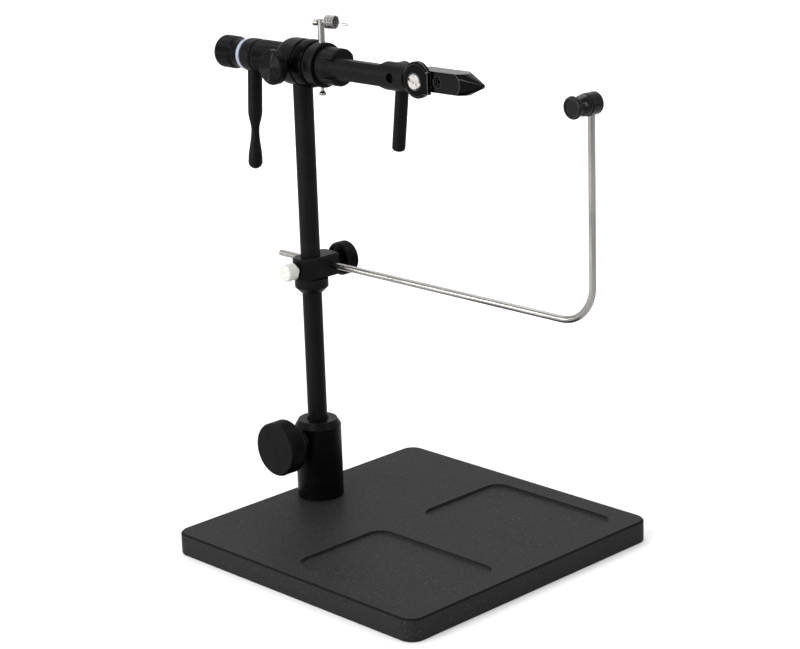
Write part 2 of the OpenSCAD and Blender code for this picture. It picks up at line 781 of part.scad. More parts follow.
crank_edge = 2;
handle_shift = 0.5;
crank_x = (crank_x0 + crank_x1) / 2 - handle_shift;
handle_spigot_d = 3.4;
handle_seat_depth = 0.75;
handle_seat = crank_hub_d / 2 - handle_seat_depth;
handle_grip_share = 0.49;
handle_waist_share = 0.66;
ball_neck_angle = 10;

module at_crank() {
    at_head() translate([crank_x, 0, 0]) rotate([180 - handle_angle, 0, 0]) children();
}

module crank_hub() {
    color(black) difference() {
        at_head() along_x() turned(rounded_disc(crank_hub_d / 2, crank_x0, crank_x1, crank_edge, crank_edge));
        at_head() translate([crank_x0 - over, 0, 0])
            along_x() cylinder(d = shaft_d + 2 * seat_gap, h = crank_hub_l + 2 * over);
        at_crank() translate([0, 0, handle_seat])
            cylinder(d = handle_d + 2 * seat_gap, h = crank_hub_d);
        at_crank() cylinder(d = handle_spigot_d + 2 * seat_gap, h = crank_hub_d);
    }
}

module crank_handle() {
    r = handle_d / 2;
    waist_z = handle_waist_share * handle_l;
    grip_z = handle_grip_share * handle_l;
    swell = (handle_d - handle_waist_d) / 2;
    neck_r = r * cos(ball_neck_angle);
    color(black) at_crank() turned(concat(
        [[0, shaft_d / 2 + 5 * face_gap], [handle_spigot_d / 2, shaft_d / 2 + 5 * face_gap],
            [handle_spigot_d / 2, handle_seat + seat_gap], [r, handle_seat + seat_gap]],
        [for (i = [0:2 * arc_steps]) let (s = i / (2 * arc_steps))
            [r - swell * (1 - cos(180 * s)) / 2, grip_z + (waist_z - grip_z) * s]],
        [for (i = [1:2 * arc_steps]) let (s = i / (2 * arc_steps))
            [handle_waist_d / 2 + (neck_r - handle_waist_d / 2) * (1 - cos(180 * s)) / 2,
                waist_z + (handle_l - r - r * sin(ball_neck_angle) - waist_z) * s]],
        [for (i = [1:2 * arc_steps]) let (a = -ball_neck_angle + (90 + ball_neck_angle) * i / (2 * arc_steps))
            [r * cos(a), handle_l - r + r * sin(a)]]));
}

module nylon_washer() {
    color("white") at_head() translate([washer_x0, 0, 0]) along_x() difference() {
        cylinder(d = washer_d, h = washer_t);
        translate([0, 0, -over]) cylinder(d = shaft_d + 2 * run_gap, h = washer_t + 2 * over);
    }
}

tension_bevel = 1.6;
tension_edge = 2;

module tension_knob() {
    r = tension_d / 2;
    neck_x = tension_x1 - tension_neck_l;
    x0 = neck_x - tension_bevel - tension_l;
    color(black) at_head() difference() {
        along_x() turned(concat(
            [[0, x0]], arc(r - tension_edge, x0 + tension_edge, tension_edge, -90, 0),
            [[r, neck_x - tension_bevel], [tension_neck_d / 2, neck_x - tension_bevel / 2],
                [tension_neck_d / 2, tension_x1], [0, tension_x1]]));
        translate([shaft_x0 - face_gap, 0, 0]) along_x() cylinder(d = shaft_d + 2 * run_gap, h = head_d);
    }
}

// Material clip

clip_seat = 4;
clip_lock_d = 2.4;
clip_eye_z = collar_d / 2 + clip_post_h - clip_post_d / 2;
clip_top_flat = 0.35;
collar_edge = 0.3;

module clip_collar() {
    r = collar_d / 2;
    color(black) at_head() difference() {
        along_x() turned([
            [0, collar_x0], [r - collar_edge, collar_x0], [r, collar_x0 + collar_edge],
            [r, collar_x1 - collar_edge], [r - collar_edge, collar_x1], [0, collar_x1]]);
        translate([collar_x0 - over, 0, 0])
            along_x() cylinder(d = shaft_d + 2 * run_gap, h = collar_l + 2 * over);
        translate([clip_x, 0, r - clip_seat]) cylinder(d = clip_post_d + 2 * seat_gap, h = clip_seat + over);
        translate([clip_lock_x, 0, -r - over]) cylinder(d = clip_lock_d + 2 * run_gap, h = r + over);
    }
}

clip_axle_d = 1.5;
clip_flat_share = 0.4;
spool_share = 1.45;

module clip_post() {
    r = clip_post_d / 2;
    z0 = collar_d / 2 - clip_seat + seat_gap - clip_eye_z;
    z1 = collar_d / 2 + clip_post_h - clip_eye_z;
    color("silver") at_clip() difference() {
        turned([[0, z0], [r, z0], [r, z1 - clip_top_flat], [r - clip_top_flat, z1], [0, z1]]);
        translate([-clip_post_d, 0, 0])
            along_x() cylinder(d = clip_axle_d + 2 * run_gap, h = 2 * clip_post_d);
        for (s = [-1, 1]) translate([s * (clip_flat_share + 0.5) * clip_post_d, 0, 0])
            cube([clip_post_d, 2 * clip_post_d, 2 * clip_post_d - 2 * clip_top_flat], center = true);
    }
}

spool_hub_d = 2.8;
spool_flange_t = 0.4;
spool_x0 = clip_flat_share * clip_post_d + face_gap;
spring_x0 = spool_share * clip_post_d;

module clip_spool() {
    color("silver") at_clip() difference() {
        union() {
            translate([spool_x0, 0, 0]) along_x() cylinder(d = spool_hub_d, h = spring_x0 - spool_x0);
            translate([spring_x0 - spool_flange_t, 0, 0])
                along_x() cylinder(r = spring_r, h = spool_flange_t);
        }
        translate([spool_x0 - over, 0, 0]) along_x() cylinder(d = clip_axle_d + 2 * run_gap, h = collar_d);
    }
}

clip_screw_head_d = 3;
clip_screw_head_l = 2.4;
spring_l = spring_curls * spring_pitch + spring_wire_d;

module clip_screw() {
    x0 = -clip_flat_share * clip_post_d - face_gap - clip_screw_head_l;
    color("silver") at_clip() translate([x0, 0, 0]) along_x() difference() {
        union() {
            cylinder(d = clip_screw_head_d, h = clip_screw_head_l);
            cylinder(d = clip_axle_d, h = spring_x0 + face_gap - x0);
        }
        rotate([180, 0, 0]) screw_head_slot(clip_axle_d / 3, clip_screw_head_l / 3, 2 * clip_screw_head_d);
    }
}

// The spring is one tube swept along a helix about X
ring_count = 8;
side_count = 6;
function spring_at(t) =
    [spring_wire_d / 2 + spring_pitch * t, spring_r * cos(360 * t), spring_r * sin(360 * t)];
function sweep_points(n) = [for (i = [0:n]) let (t = i / ring_count, c = spring_at(t))
    for (k = [0:side_count - 1]) let (a = 360 * k / side_count, w = spring_wire_d / 2)
        [c[0] + w * cos(a), c[1] + w * sin(a) * cos(360 * t), c[2] + w * sin(a) * sin(360 * t)]];
function sweep_sides(n) = [for (i = [0:n - 1], k = [0:side_count - 1])
    let (a = i * side_count + k, b = i * side_count + (k + 1) % side_count)
        each [[a, b, b + side_count], [a, b + side_count, a + side_count]]];

spring_rings = spring_curls * ring_count;
spring_samples = [for (i = [0:spring_rings - ring_count]) norm(spring_at((i + ring_count) / ring_count)
    - spring_at(i / ring_count)) - spring_wire_d];
echo(least_spring_gap = min(spring_samples));

module material_spring() {
    n = spring_rings;
    color("silver") at_clip() translate([spring_x0 + seat_gap, 0, 0]) polyhedron(
        points = sweep_points(n),
        faces = concat(sweep_sides(n),
            [[for (k = [side_count - 1:-1:0]) k]],
            [[for (k = [0:side_count - 1]) n * side_count + k]]));
}

guide_d = 0.5;
guide_bend_r = 0.35;
guide_legs = 4;
guide_drop = 0.5;
guide_spread = 0.4;
guide_out = spring_l + guide_reach - guide_bend_r;

// The guide is a wire that leaves the spring's core, turns back and ends short
guide_path = concat(
    [for (i = [0:guide_legs - 1]) [guide_out * i / guide_legs, 0, -guide_drop * i / guide_legs]],
    [for (i = [0:2 * guide_legs]) let (a = 90 - 180 * i / (2 * guide_legs))
        [guide_out + guide_bend_r * cos(a), 0, guide_bend_r * (sin(a) - 1) - guide_drop]],
    [[guide_out - guide_reach / 2, 0, -guide_drop - guide_spread - 2 * guide_bend_r]]);
guide_last = len(guide_path) - 1;
function guide_way(i) = guide_path[min(i + 1, guide_last)] - guide_path[max(i - 1, 0)];
function guide_ring(i) = let (v = guide_way(i) / norm(guide_way(i)))
    [for (k = [0:side_count - 1]) let (a = 360 * k / side_count)
        guide_path[i] + guide_d / 2 * [-v[2] * sin(a), cos(a), v[0] * sin(a)]];

module wire_guide() {
    color("silver") at_clip() translate([spring_x0 + 2 * face_gap, 0, 0]) polyhedron(
        points = [for (i = [0:guide_last]) each guide_ring(i)],
        faces = concat(sweep_sides(guide_last),
            [[for (k = [side_count - 1:-1:0]) k]],
            [[for (k = [0:side_count - 1]) guide_last * side_count + k]]));
}

clip_lock_head_d = 3.3;
clip_lock_neck_d = 1.5;
clip_lock_neck_l = 1.7;
clip_lock_head_l = 2.1;
clip_lock_shift = 0.7;
clip_lock_x = clip_x - clip_lock_shift;

module clip_lock_screw() {
    r = clip_lock_head_d / 2;
    tip = shaft_d / 2 + face_gap;
    rim = collar_d / 2;
    head = rim + clip_lock_neck_l;
    color("silver") at_head() translate([clip_lock_x, 0, 0]) rotate([180, 0, 0]) turned([
        [0, tip], [clip_lock_d / 2, tip], [clip_lock_d / 2, rim - face_gap], [clip_lock_neck_d / 2, rim],
        [clip_lock_neck_d / 2, head], [r, head + (clip_lock_head_d - clip_lock_neck_d) / 2],
        [r, head + clip_lock_head_l], [0, head + clip_lock_head_l]]);
}

// Arm

tongue_y0 = -4.1;
tongue_y1 = -1.7;
tongue_inset = 0.5;
tongue_r = knuckle_r - tongue_inset;
tilt_stops = [-15, -8, 0, 10];
shoulder_gap = 0.3;
blend_steps = 10;
flare_start_share = 0.72;
flare_end_share = 0.42;
flare_x0 = cam_x - flare_start_share * cam_d;
flare_x1 = cam_x - flare_end_share * cam_d;
flare_steps = 6;

// Half height of the arm's side view, at share s of the flare
function flare(s) = arm_narrow_h / 2 + (arm_wide_h - arm_narrow_h) / 2 * (1 - cos(180 * s)) / 2;

module arm_side_view() {
    top = [for (i = [0:flare_steps]) let (s = i / flare_steps)
        [flare_x0 + (flare_x1 - flare_x0) * s, flare(s)]];
    bottom = [for (i = [flare_steps:-1:0]) [top[i][0], -top[i][1]]];
    polygon(concat(
        [[hub_x1 - over, arm_narrow_h / 2]], top, [[pivot_x, arm_wide_h / 2], [pivot_x, -arm_wide_h / 2]],
        bottom, [[hub_x1 - over, -arm_narrow_h / 2]]));
}

module arm_bar() {
    intersection() {
        translate([hub_x1 - over, 0, 0]) along_x() cylinder(r = arm_r, h = pivot_x - hub_x1 + over);
        translate([0, -arm_flat_y, 0]) away_y() linear_extrude(arm_hub_d) arm_side_view();
    }
}

// What the smooth blend takes off the hub, between the levels of the narrow arm's top and bottom
module hub_blend_cut() {
    r = arm_hub_d / 2;
    x0 = hub_x1 - arm_blend_l;
    intersection() {
        translate([x0, -arm_hub_d, -arm_narrow_h / 2]) cube([arm_blend_l + over, arm_hub_d, arm_narrow_h]);
        along_x() turned(concat(
            [[r + over, x0], [r, x0]],
            [for (i = [1:blend_steps]) let (t = i / blend_steps)
                [r - (r - arm_r) * (1 - cos(180 * t)) / 2, x0 + arm_blend_l * t]],
            [[arm_r, hub_x1 + over], [r + over, hub_x1 + over]]));
    }
}

module arm_tongue() {
    translate([0, tongue_y1, 0]) away_y() linear_extrude(tongue_y1 - tongue_y0) union() {
        translate([pivot_x, 0]) circle(tongue_r);
        translate([pivot_x - knuckle_r - 2 * over, over - tongue_r])
            square([knuckle_r + 2 * over, 2 * tongue_r - 2 * over]);
    }
}

module arm() {
    hub_edge = 0.5;
    color(black) at_head() difference() {
        union() {
            difference() {
                along_x() turned([
                    [0, arm_x0], [arm_neck_d / 2, arm_x0], [arm_neck_d / 2, hub_x0],
                    [arm_hub_d / 2 - hub_edge, hub_x0], [arm_hub_d / 2, hub_x0 + hub_edge],
                    [arm_hub_d / 2, hub_x1 - hub_edge], [arm_hub_d / 2 - hub_edge, hub_x1], [0, hub_x1]]);
                translate([arm_x0 - over, arm_hub_flat, -arm_hub_d])
                    cube([arm_hub_l + 4 * over, arm_hub_d, 2 * arm_hub_d]);
                hub_blend_cut();
            }
            // The bar ends in a recess that clears the holder at every tilt of the jaws
            difference() {
                arm_bar();
                for (a = tilt_stops) translate([pivot_x, arm_hub_d, 0]) rotate([0, -a, 0])
                    translate([holder_shift_x, 0, holder_shift_z])
                        away_y() cylinder(r = holder_r + shoulder_gap, h = 2 * arm_hub_d);
            }
            arm_tongue();
        }
        translate([arm_x0 - over, 0, 0])
            along_x() cylinder(d = shaft_d + 2 * seat_gap, h = shaft_x1 - arm_x0 + over);
        translate([cam_x, 0, 0]) away_y() cylinder(d = cam_hole_d, h = arm_hub_d);
        translate([pivot_x, 0, 0]) away_y() cylinder(d = pivot_shank_d + 2 * run_gap, h = arm_hub_d);
    }
}

// Cam and its lever

cam_y0 = -arm_flat_y + 2 * face_gap;
cam_face_y = 5;
cam_bevel = 1.4;
cam_pin_l = 2.9;
lever_y = 1.8;
lever_spigot_d = 4;
lever_seat = 5.6;
lever_end_r = 1.6;
cam_phase = 50;

module cam() {
    color(black) at_head() translate([cam_x, 0, 0]) difference() {
        union() {
            along_y() turned([
                [0, cam_y0], [cam_d / 2, cam_y0], [cam_d / 2, cam_face_y - cam_bevel],
                [cam_d / 2 - 2 * cam_bevel, cam_face_y + cam_bevel], [0, cam_face_y + cam_bevel]]);
            translate([0, cam_y0 - cam_pin_l, 0])
                along_y() cylinder(d = cam_hole_d - 2 * run_gap, h = cam_pin_l + over);
        }
        // The working face leans, and its high side is between forward and down
        translate([0, cam_face_y, 0]) rotate([0, cam_phase, 0]) rotate([0, 0, cam_slope])
            translate([-cam_d, 0, -cam_d]) cube([2 * cam_d, cam_d, 2 * cam_d]);
        rotate([0, lever_angle, 0]) translate([-cam_d, cam_y0 - over, -cam_d - lever_seat])
            cube([2 * cam_d, cam_d, cam_d]);
        translate([0, lever_y, 0]) rotate([0, lever_angle, 0]) rotate([180, 0, 0])
            translate([0, 0, lever_seat / 3]) cylinder(d = lever_spigot_d + 2 * seat_gap, h = cam_d);
    }
}

module cam_lever() {
    r = lever_d / 2;
    color(black) at_head() translate([cam_x, lever_y, 0]) rotate([0, lever_angle, 0]) rotate([180, 0, 0])
        turned(concat(
            [[0, lever_seat / 3 + seat_gap], [lever_spigot_d / 2, lever_seat / 3 + seat_gap],
                [lever_spigot_d / 2, lever_seat + seat_gap], [r, lever_seat + seat_gap]],
            arc(r - lever_end_r, lever_l - lever_end_r, lever_end_r, 0, 90), [[0, lever_l]]));
}

// Jaws, counted from the pivot with the jaws level

slot_gap = 0.15;
holder_slot_y0 = tongue_y0 - slot_gap;
holder_slot_y1 = tongue_y1 + slot_gap;
slot_r = tongue_r + spin_gap;
pivot_head_t = 1.7;
pivot_head_proud = 0.5;
pivot_ring_gap = 0.25;
holder_shift_x = 0.9;
holder_shift_z = 0.8;
seat_x = 5.2;
pivot_head_y = -holder_face_y - pivot_head_proud;
tip_angle = 20;
mill_share = 0.53;
mill_back_share = 0.27;
fulcrum_gap = 2.2;
fulcrum_x = holder_front + fulcrum_gap + fulcrum_d / 2;
jaw_top = jaw_rise + jaw_h / 2;
jaw_bottom = jaw_rise - jaw_h / 2;
nose_x = jaw_reach - nose_l;
mill_r = mill_share * jaw_h;
mill_x = nose_x - mill_back_share * nose_l;
jaw_gap = 0.03;

module block(x0, x1, y0, y1, z0, z1) {
    translate([x0, y0, z0]) cube([x1 - x0, y1 - y0, z1 - z0]);
}

module knuckle(y0, y1, r) {
    translate([0, y0, 0]) along_y() cylinder(r = r, h = y1 - y0);
}

dowel_d = 1.2;
dowel_inset = 1;
dowel_end_gap = 0.5;
dowel_share = 0.36;
dowel_x = holder_front - dowel_inset;
dowel_z = dowel_share * jaw_h;

module dowel_holes(gap) {
    for (s = [-1, 1]) translate([dowel_x, -holder_face_y + over, jaw_rise + s * dowel_z])
        along_y() cylinder(d = dowel_d + 2 * gap, h = holder_face_y - over - dowel_end_gap);
}

module jaw_holder() {
    color(black) at_jaws() difference() {
        union() {
            translate([holder_shift_x, -holder_face_y, holder_shift_z]) along_y() turned([
                [0, 0], [holder_r - holder_bevel, 0], [holder_r, holder_bevel / 2],
                [holder_r, holder_face_y + holder_slot_y0], [0, holder_face_y + holder_slot_y0]]);
            block(0, holder_front, -holder_face_y, holder_slot_y0, -holder_low, holder_high);
        }
        block(holder_front, 2 * holder_front, -2 * holder_face_y, 0, -2 * holder_r, 2 * holder_r);
        // The seat for the near jaw's thick part
        block(seat_x - face_gap, holder_front + over, -jaw_t - seat_gap, 0, -2 * holder_r, 2 * holder_r);
        knuckle(-2 * holder_face_y, pivot_head_y + pivot_head_t, pivot_head_d / 2 + pivot_ring_gap);
        knuckle(-2 * holder_face_y, 0, pivot_shank_d / 2 + run_gap);
        dowel_holes(seat_gap);
    }
}

module jaw_dowels() {
    color("silver") at_jaws() for (s = [-1, 1])
        translate([dowel_x, -holder_face_y + over + seat_gap, jaw_rise + s * dowel_z])
            along_y() cylinder(d = dowel_d, h = holder_face_y - over - dowel_end_gap - 2 * seat_gap);
}

// The body that both jaws are cut from: a flat bar whose milled sides end at a round tapered nose
module jaw_stock() {
    tip_r = nose_tip_d / 2;
    translate([0, 0, jaw_rise]) difference() {
        intersection() {
            along_x() turned(concat(
                [[0, 0], [nose_d / 2, 0], [nose_d / 2, nose_x]],
                arc(0, jaw_reach - tip_r, tip_r, tip_angle, 90)));
            block(0, jaw_reach + over, -nose_d, nose_d, -jaw_h / 2, jaw_h / 2);
        }
        for (s = [-1, 1]) mirror([0, s < 0 ? 1 : 0, 0]) {
            block(-over, mill_x, jaw_t, nose_d, -nose_d, nose_d);
            translate([mill_x, jaw_t, 0])
                along_y() cylinder(r1 = mill_r, r2 = mill_r + nose_d / 2, h = nose_d / 2);
        }
    }
}

module jaw_back(y0, y1) {
    translate([0, 0, jaw_rise]) knuckle(y0, y1, jaw_h / 2);
}

fulcrum_sink = 0.8;
spring_seat_gap = 5;
spring_seat_x = fulcrum_x + spring_seat_gap;
jaw_spring_d = 2.2;
jaw_spring_l = 3;

module jaw_near() {
    color("#0c0c0e") at_jaws() difference() {
        union() {
            intersection() {
                jaw_stock();
                block(seat_x, jaw_reach + over, -nose_d, -jaw_gap, -nose_d, nose_d);
            }
            jaw_back(holder_slot_y1, -jaw_gap);
            block(0, holder_front, holder_slot_y1, -jaw_gap, jaw_bottom, jaw_top);
        }
        knuckle(-holder_face_y, holder_slot_y1, slot_r);
        knuckle(-holder_face_y, jaw_t, pivot_shank_d / 2 + run_gap);
        translate([fulcrum_x, -nose_d, jaw_rise])
            along_y() cylinder(d = fulcrum_d + 2 * run_gap, h = 2 * nose_d);
        translate([fulcrum_x, -jaw_t - over, jaw_rise]) along_y() cylinder(
            r1 = fulcrum_d / 2 + fulcrum_sink + over, r2 = fulcrum_d / 2, h = fulcrum_sink + over);
        translate([spring_seat_x, -jaw_spring_l / 2 - face_gap, jaw_rise])
            along_y() cylinder(d = jaw_spring_d + 4 * run_gap, h = jaw_spring_l);
        dowel_holes(seat_gap);
    }
}

tail_h = 4.4;
tail_t = 1.6;
tail_y = 6.1;
tail_overhang = 1.8;
nub_d = 1.6;
nub_gap = 0.55;
nub_share = 0.72;
socket_share = 0.7;
screw_recess = 1.2;
screw_tip_share = 0.9;
nub_r = nub_share * cam_d / 2;
nub_x = nub_r - cam_to_pivot;
nub_y = cam_face_y + nub_r * tan(cam_slope) * cos(cam_phase) + nub_gap;
wedge_spare = 0.4;
wedge_angle = jaw_open + wedge_spare;

module jaw_far() {
    x_jog = -knuckle_r - over;
    x_end = nub_x - tail_overhang;
    color("#0c0c0e") at_jaws() difference() {
        union() {
            intersection() {
                jaw_stock();
                block(-over, jaw_reach + over, jaw_gap, nose_d, -nose_d, nose_d);
            }
            jaw_back(jaw_gap, jaw_t);
            translate([0, 0, -tail_h / 2]) linear_extrude(tail_h) polygon([
                [x_end, tail_y], [x_jog, tail_y], [x_jog / 2, jaw_t / 2], [0, jaw_t / 2], [0, jaw_t],
                [x_jog / 2 + over, jaw_t], [x_jog + over, tail_y + tail_t], [x_end, tail_y + tail_t]]);
            translate([nub_x, nub_y, 0]) along_y() cylinder(d = nub_d, h = tail_y + tail_t / 2 - nub_y);
        }
        // Relief behind the fulcrum, so that the tail can swing towards the near jaw
        translate([fulcrum_x, 0, -nose_d]) rotate([0, 0, 180 - wedge_angle])
            cube([2 * cam_to_pivot, nose_d / 2, 2 * nose_d]);
        translate([fulcrum_x, 0, jaw_rise])
            along_y() cylinder(d = fulcrum_d + 4 * face_gap, h = socket_share * jaw_t);
        translate([spring_seat_x, -over, jaw_rise]) along_y()
            cylinder(d = jaw_spring_d + 4 * run_gap + face_gap, h = jaw_spring_l / 2 + face_gap + over);
    }
}

module jaw_spring() {
    color("silver") at_jaws() translate([spring_seat_x, -jaw_spring_l / 2, jaw_rise]) along_y() difference() {
        cylinder(d = jaw_spring_d, h = jaw_spring_l);
        translate([0, 0, -over]) cylinder(d = jaw_spring_d / 2, h = jaw_spring_l + 2 * over);
    }
}

pivot_slot_w = 1.5;
pivot_slot_depth = 1;
pivot_slot_angle = 21;
pivot_edge = 0.3;

module pivot_screw() {
    r = pivot_head_d / 2;
    face = -pivot_head_y;
    root = face - pivot_head_t;
    tip = 2 * jaw_gap + face_gap;
    color("silver") at_jaws() away_y() difference() {
        turned([
            [0, tip], [pivot_shank_d / 2, tip], [pivot_shank_d / 2, root + seat_gap],
            [r, root + seat_gap], [r, face - pivot_edge], [r - pivot_edge, face], [0, face]]);
        translate([0, 0, face]) rotate([0, 0, -pivot_slot_angle])
            screw_head_slot(pivot_slot_w, pivot_slot_depth, 2 * pivot_head_d);
    }
}

module jaw_screw() {
    r = fulcrum_d / 2;
    near = jaw_t - screw_recess;
    far = -screw_tip_share * socket_share * jaw_t;
    color("#101012") at_jaws() translate([fulcrum_x, 0, jaw_rise]) away_y() difference() {
        turned([[0, far], [r, far], [r, near], [0, near]]);
        translate([0, 0, near / 2]) cylinder(d = r, h = near, $fn = 6);
    }
}

base_plate();
base_pad();
post_bolt();
stem_post();
stem_lock_knob();
stem_lock_screw();
stem();
stop_collar();
stop_collar_screw();
cradle_clamp();
clamp_knob();
clamp_stud();
nylon_screw();
cradle_rod();
bobbin_rest();
head_body();
front_ring();
rear_barrel();
shaft_bushings();
rotary_shaft();
head_lock_knob();
head_lock_screw();
crank_hub();
crank_handle();
nylon_washer();
tension_knob();
clip_collar();
clip_post();
clip_spool();
clip_screw();
material_spring();
wire_guide();
clip_lock_screw();
arm();
cam();
cam_lever();
jaw_holder();
jaw_near();
jaw_far();
jaw_dowels();
jaw_spring();
pivot_screw();
jaw_screw();
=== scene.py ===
"""Looks of a rotary fly tying vise: a black coated base, a black stem and head, polished jaws,
a bright wire bobbin cradle, knurled knobs and a white nylon screw, on a plain white floor."""

import math

import bmesh
import bpy
from mathutils import Matrix, Vector


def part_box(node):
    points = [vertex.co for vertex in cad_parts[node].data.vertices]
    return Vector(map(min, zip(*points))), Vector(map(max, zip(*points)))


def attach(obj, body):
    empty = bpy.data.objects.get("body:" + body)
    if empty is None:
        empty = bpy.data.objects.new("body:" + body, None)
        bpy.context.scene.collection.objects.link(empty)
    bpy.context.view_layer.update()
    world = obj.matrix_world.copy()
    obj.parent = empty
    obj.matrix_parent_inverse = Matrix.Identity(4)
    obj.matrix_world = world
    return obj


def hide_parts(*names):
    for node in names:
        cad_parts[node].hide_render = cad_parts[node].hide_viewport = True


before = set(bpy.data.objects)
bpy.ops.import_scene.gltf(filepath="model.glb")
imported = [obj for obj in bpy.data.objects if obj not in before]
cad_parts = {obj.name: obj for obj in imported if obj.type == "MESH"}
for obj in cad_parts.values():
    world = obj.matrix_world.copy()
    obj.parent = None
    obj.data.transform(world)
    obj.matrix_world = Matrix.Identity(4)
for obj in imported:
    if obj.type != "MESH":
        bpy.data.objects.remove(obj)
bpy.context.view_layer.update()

# Units and shared values. Lengths are in metres, as in the frame

MM = 0.001
TURN = 2 * math.pi
SHARP_ANGLE = math.radians(32)
X_AXIS, Y_AXIS, Z_AXIS = 0, 1, 2

# Camera, solved from the photograph's vanishing lines and the base's corners

CAMERA_PLACE = (708.286 * MM, -690.319 * MM, 402.728 * MM)
CAMERA_AZIMUTH = 0.8008
CAMERA_ELEVATION = 0.2874
CAMERA_ROLL = -0.0334
PHOTO_WIDTH = 800
FOCAL_PIXELS = 2224.047
SENSOR_WIDTH = 36
CAMERA_NEAR = 0.01
CAMERA_FAR = 50


def make_camera():
    azimuth, elevation = CAMERA_AZIMUTH, CAMERA_ELEVATION
    back = Vector((math.sin(azimuth) * math.cos(elevation), -math.cos(azimuth) * math.cos(elevation),
                   math.sin(elevation)))
    right = (-back).cross(Vector((0, 0, 1))).normalized()
    up = right.cross(-back)
    cosine, sine = math.cos(CAMERA_ROLL), math.sin(CAMERA_ROLL)
    rolled_right = cosine * right + sine * up
    rolled_up = cosine * up - sine * right
    data = bpy.data.cameras.new("camera")
    data.sensor_width = SENSOR_WIDTH
    data.lens = FOCAL_PIXELS / PHOTO_WIDTH * SENSOR_WIDTH
    data.clip_start = CAMERA_NEAR
    data.clip_end = CAMERA_FAR
    camera = bpy.data.objects.new("camera", data)
    axes = Matrix((rolled_right, rolled_up, back)).transposed()
    camera.matrix_world = Matrix.Translation(CAMERA_PLACE) @ axes.to_4x4()
    bpy.context.scene.collection.objects.link(camera)
    bpy.context.scene.camera = camera


# Studio: a white world, a floor of white paper and softboxes

WORLD_LIGHT = 0.6
WORLD_WHITE = 1.0
FLOOR_SIZE = 14
FLOOR_COLOUR = (0.86, 0.86, 0.86, 1)
# Glow of the floor under the object and far from it, and the distances between which it changes
FLOOR_GLOW = (0.1, 0.6)
FLOOR_GLOW_SPAN = (0.15, 1.1)


def nodes_of(tree):
    tree.nodes.clear()
    return tree.nodes, tree.links


def make_world():
    """Even light on the object, and white for what the camera, metal and glass see of the world."""
    world = bpy.data.worlds.new("studio")
    bpy.context.scene.world = world
    world.use_nodes = True
    nodes, links = nodes_of(world.node_tree)
    path = nodes.new("ShaderNodeLightPath")
    seen = nodes.new("ShaderNodeMath")
    seen.operation = "MAXIMUM"
    links.new(path.outputs["Is Camera Ray"], seen.inputs[0])
    links.new(path.outputs["Is Glossy Ray"], seen.inputs[1])
    clear = nodes.new("ShaderNodeMath")
    clear.operation = "MAXIMUM"
    links.new(seen.outputs[0], clear.inputs[0])
    links.new(path.outputs["Is Transmission Ray"], clear.inputs[1])
    level = nodes.new("ShaderNodeMix")
    level.data_type = "FLOAT"
    links.new(clear.outputs[0], level.inputs["Factor"])
    level.inputs["A"].default_value = WORLD_LIGHT
    level.inputs["B"].default_value = WORLD_WHITE
    background = nodes.new("ShaderNodeBackground")
    background.inputs["Color"].default_value = (1, 1, 1, 1)
    links.new(level.outputs["Result"], background.inputs["Strength"])
    output = nodes.new("ShaderNodeOutputWorld")
    links.new(background.outputs[0], output.inputs["Surface"])


def floor_paper():
    """White paper that keeps the object's shadow and glows for the camera alone, more so far away."""
    material = bpy.data.materials.new("floor_paper")
    material.use_nodes = True
    nodes, links = nodes_of(material.node_tree)
    paper = nodes.new("ShaderNodeBsdfDiffuse")
    paper.inputs["Color"].default_value = FLOOR_COLOUR
    path = nodes.new("ShaderNodeLightPath")
    place = nodes.new("ShaderNodeTexCoord")
    distance = nodes.new("ShaderNodeVectorMath")
    distance.operation = "LENGTH"
    links.new(place.outputs["Object"], distance.inputs[0])
    spread = nodes.new("ShaderNodeMapRange")
    spread.inputs["From Min"].default_value, spread.inputs["From Max"].default_value = FLOOR_GLOW_SPAN
    spread.inputs["To Min"].default_value, spread.inputs["To Max"].default_value = FLOOR_GLOW
    links.new(distance.outputs["Value"], spread.inputs["Value"])
    glow = nodes.new("ShaderNodeMath")
    glow.operation = "MULTIPLY"
    links.new(path.outputs["Is Camera Ray"], glow.inputs[0])
    links.new(spread.outputs["Result"], glow.inputs[1])
    emission = nodes.new("ShaderNodeEmission")
    links.new(glow.outputs[0], emission.inputs["Strength"])
    both = nodes.new("ShaderNodeAddShader")
    links.new(paper.outputs[0], both.inputs[0])
    links.new(emission.outputs[0], both.inputs[1])
    output = nodes.new("ShaderNodeOutputMaterial")
    links.new(both.outputs[0], output.inputs["Surface"])
    return material


def make_floor():
    half = FLOOR_SIZE / 2
    corners = [(-half, -half, 0), (half, -half, 0), (half, half, 0), (-half, half, 0)]
    mesh = bpy.data.meshes.new("floor")
    mesh.from_pydata(corners, [], [(0, 1, 2, 3)])
    floor = bpy.data.objects.new("floor", mesh)
    bpy.context.scene.collection.objects.link(floor)
    mesh.materials.append(floor_paper())


# Place, target, width, height and power of each softbox
SOFTBOXES = {
    "overhead": ((-0.45, 0.35, 1.3), (0, 0, 0.1), 1.2, 1.0, 9.2),
    "low_back": ((-1.15, 1.12, 0.62), (0, 0, 0.22), 0.9, 0.2, 0.3),
    "high_front": ((0.27, -0.3, 1.5), (0, 0, 0.2), 0.34, 0.34, 1.3),
    "left_strip": ((-0.85, -0.95, 0.42), (-0.05, 0, 0.2), 0.06, 0.6, 3.2),
    "front_strip": ((-0.05, -0.95, 1.1), (0.02, 0, 0.22), 0.8, 0.12, 6.5),
    "front_fill": ((-0.35, -1.5, 0.3), (0, 0, 0.05), 1.0, 0.5, 9),
    "right_strip": ((1.1, 0.35, 0.6), (0, 0, 0.2), 0.08, 0.9, 2.4),
}


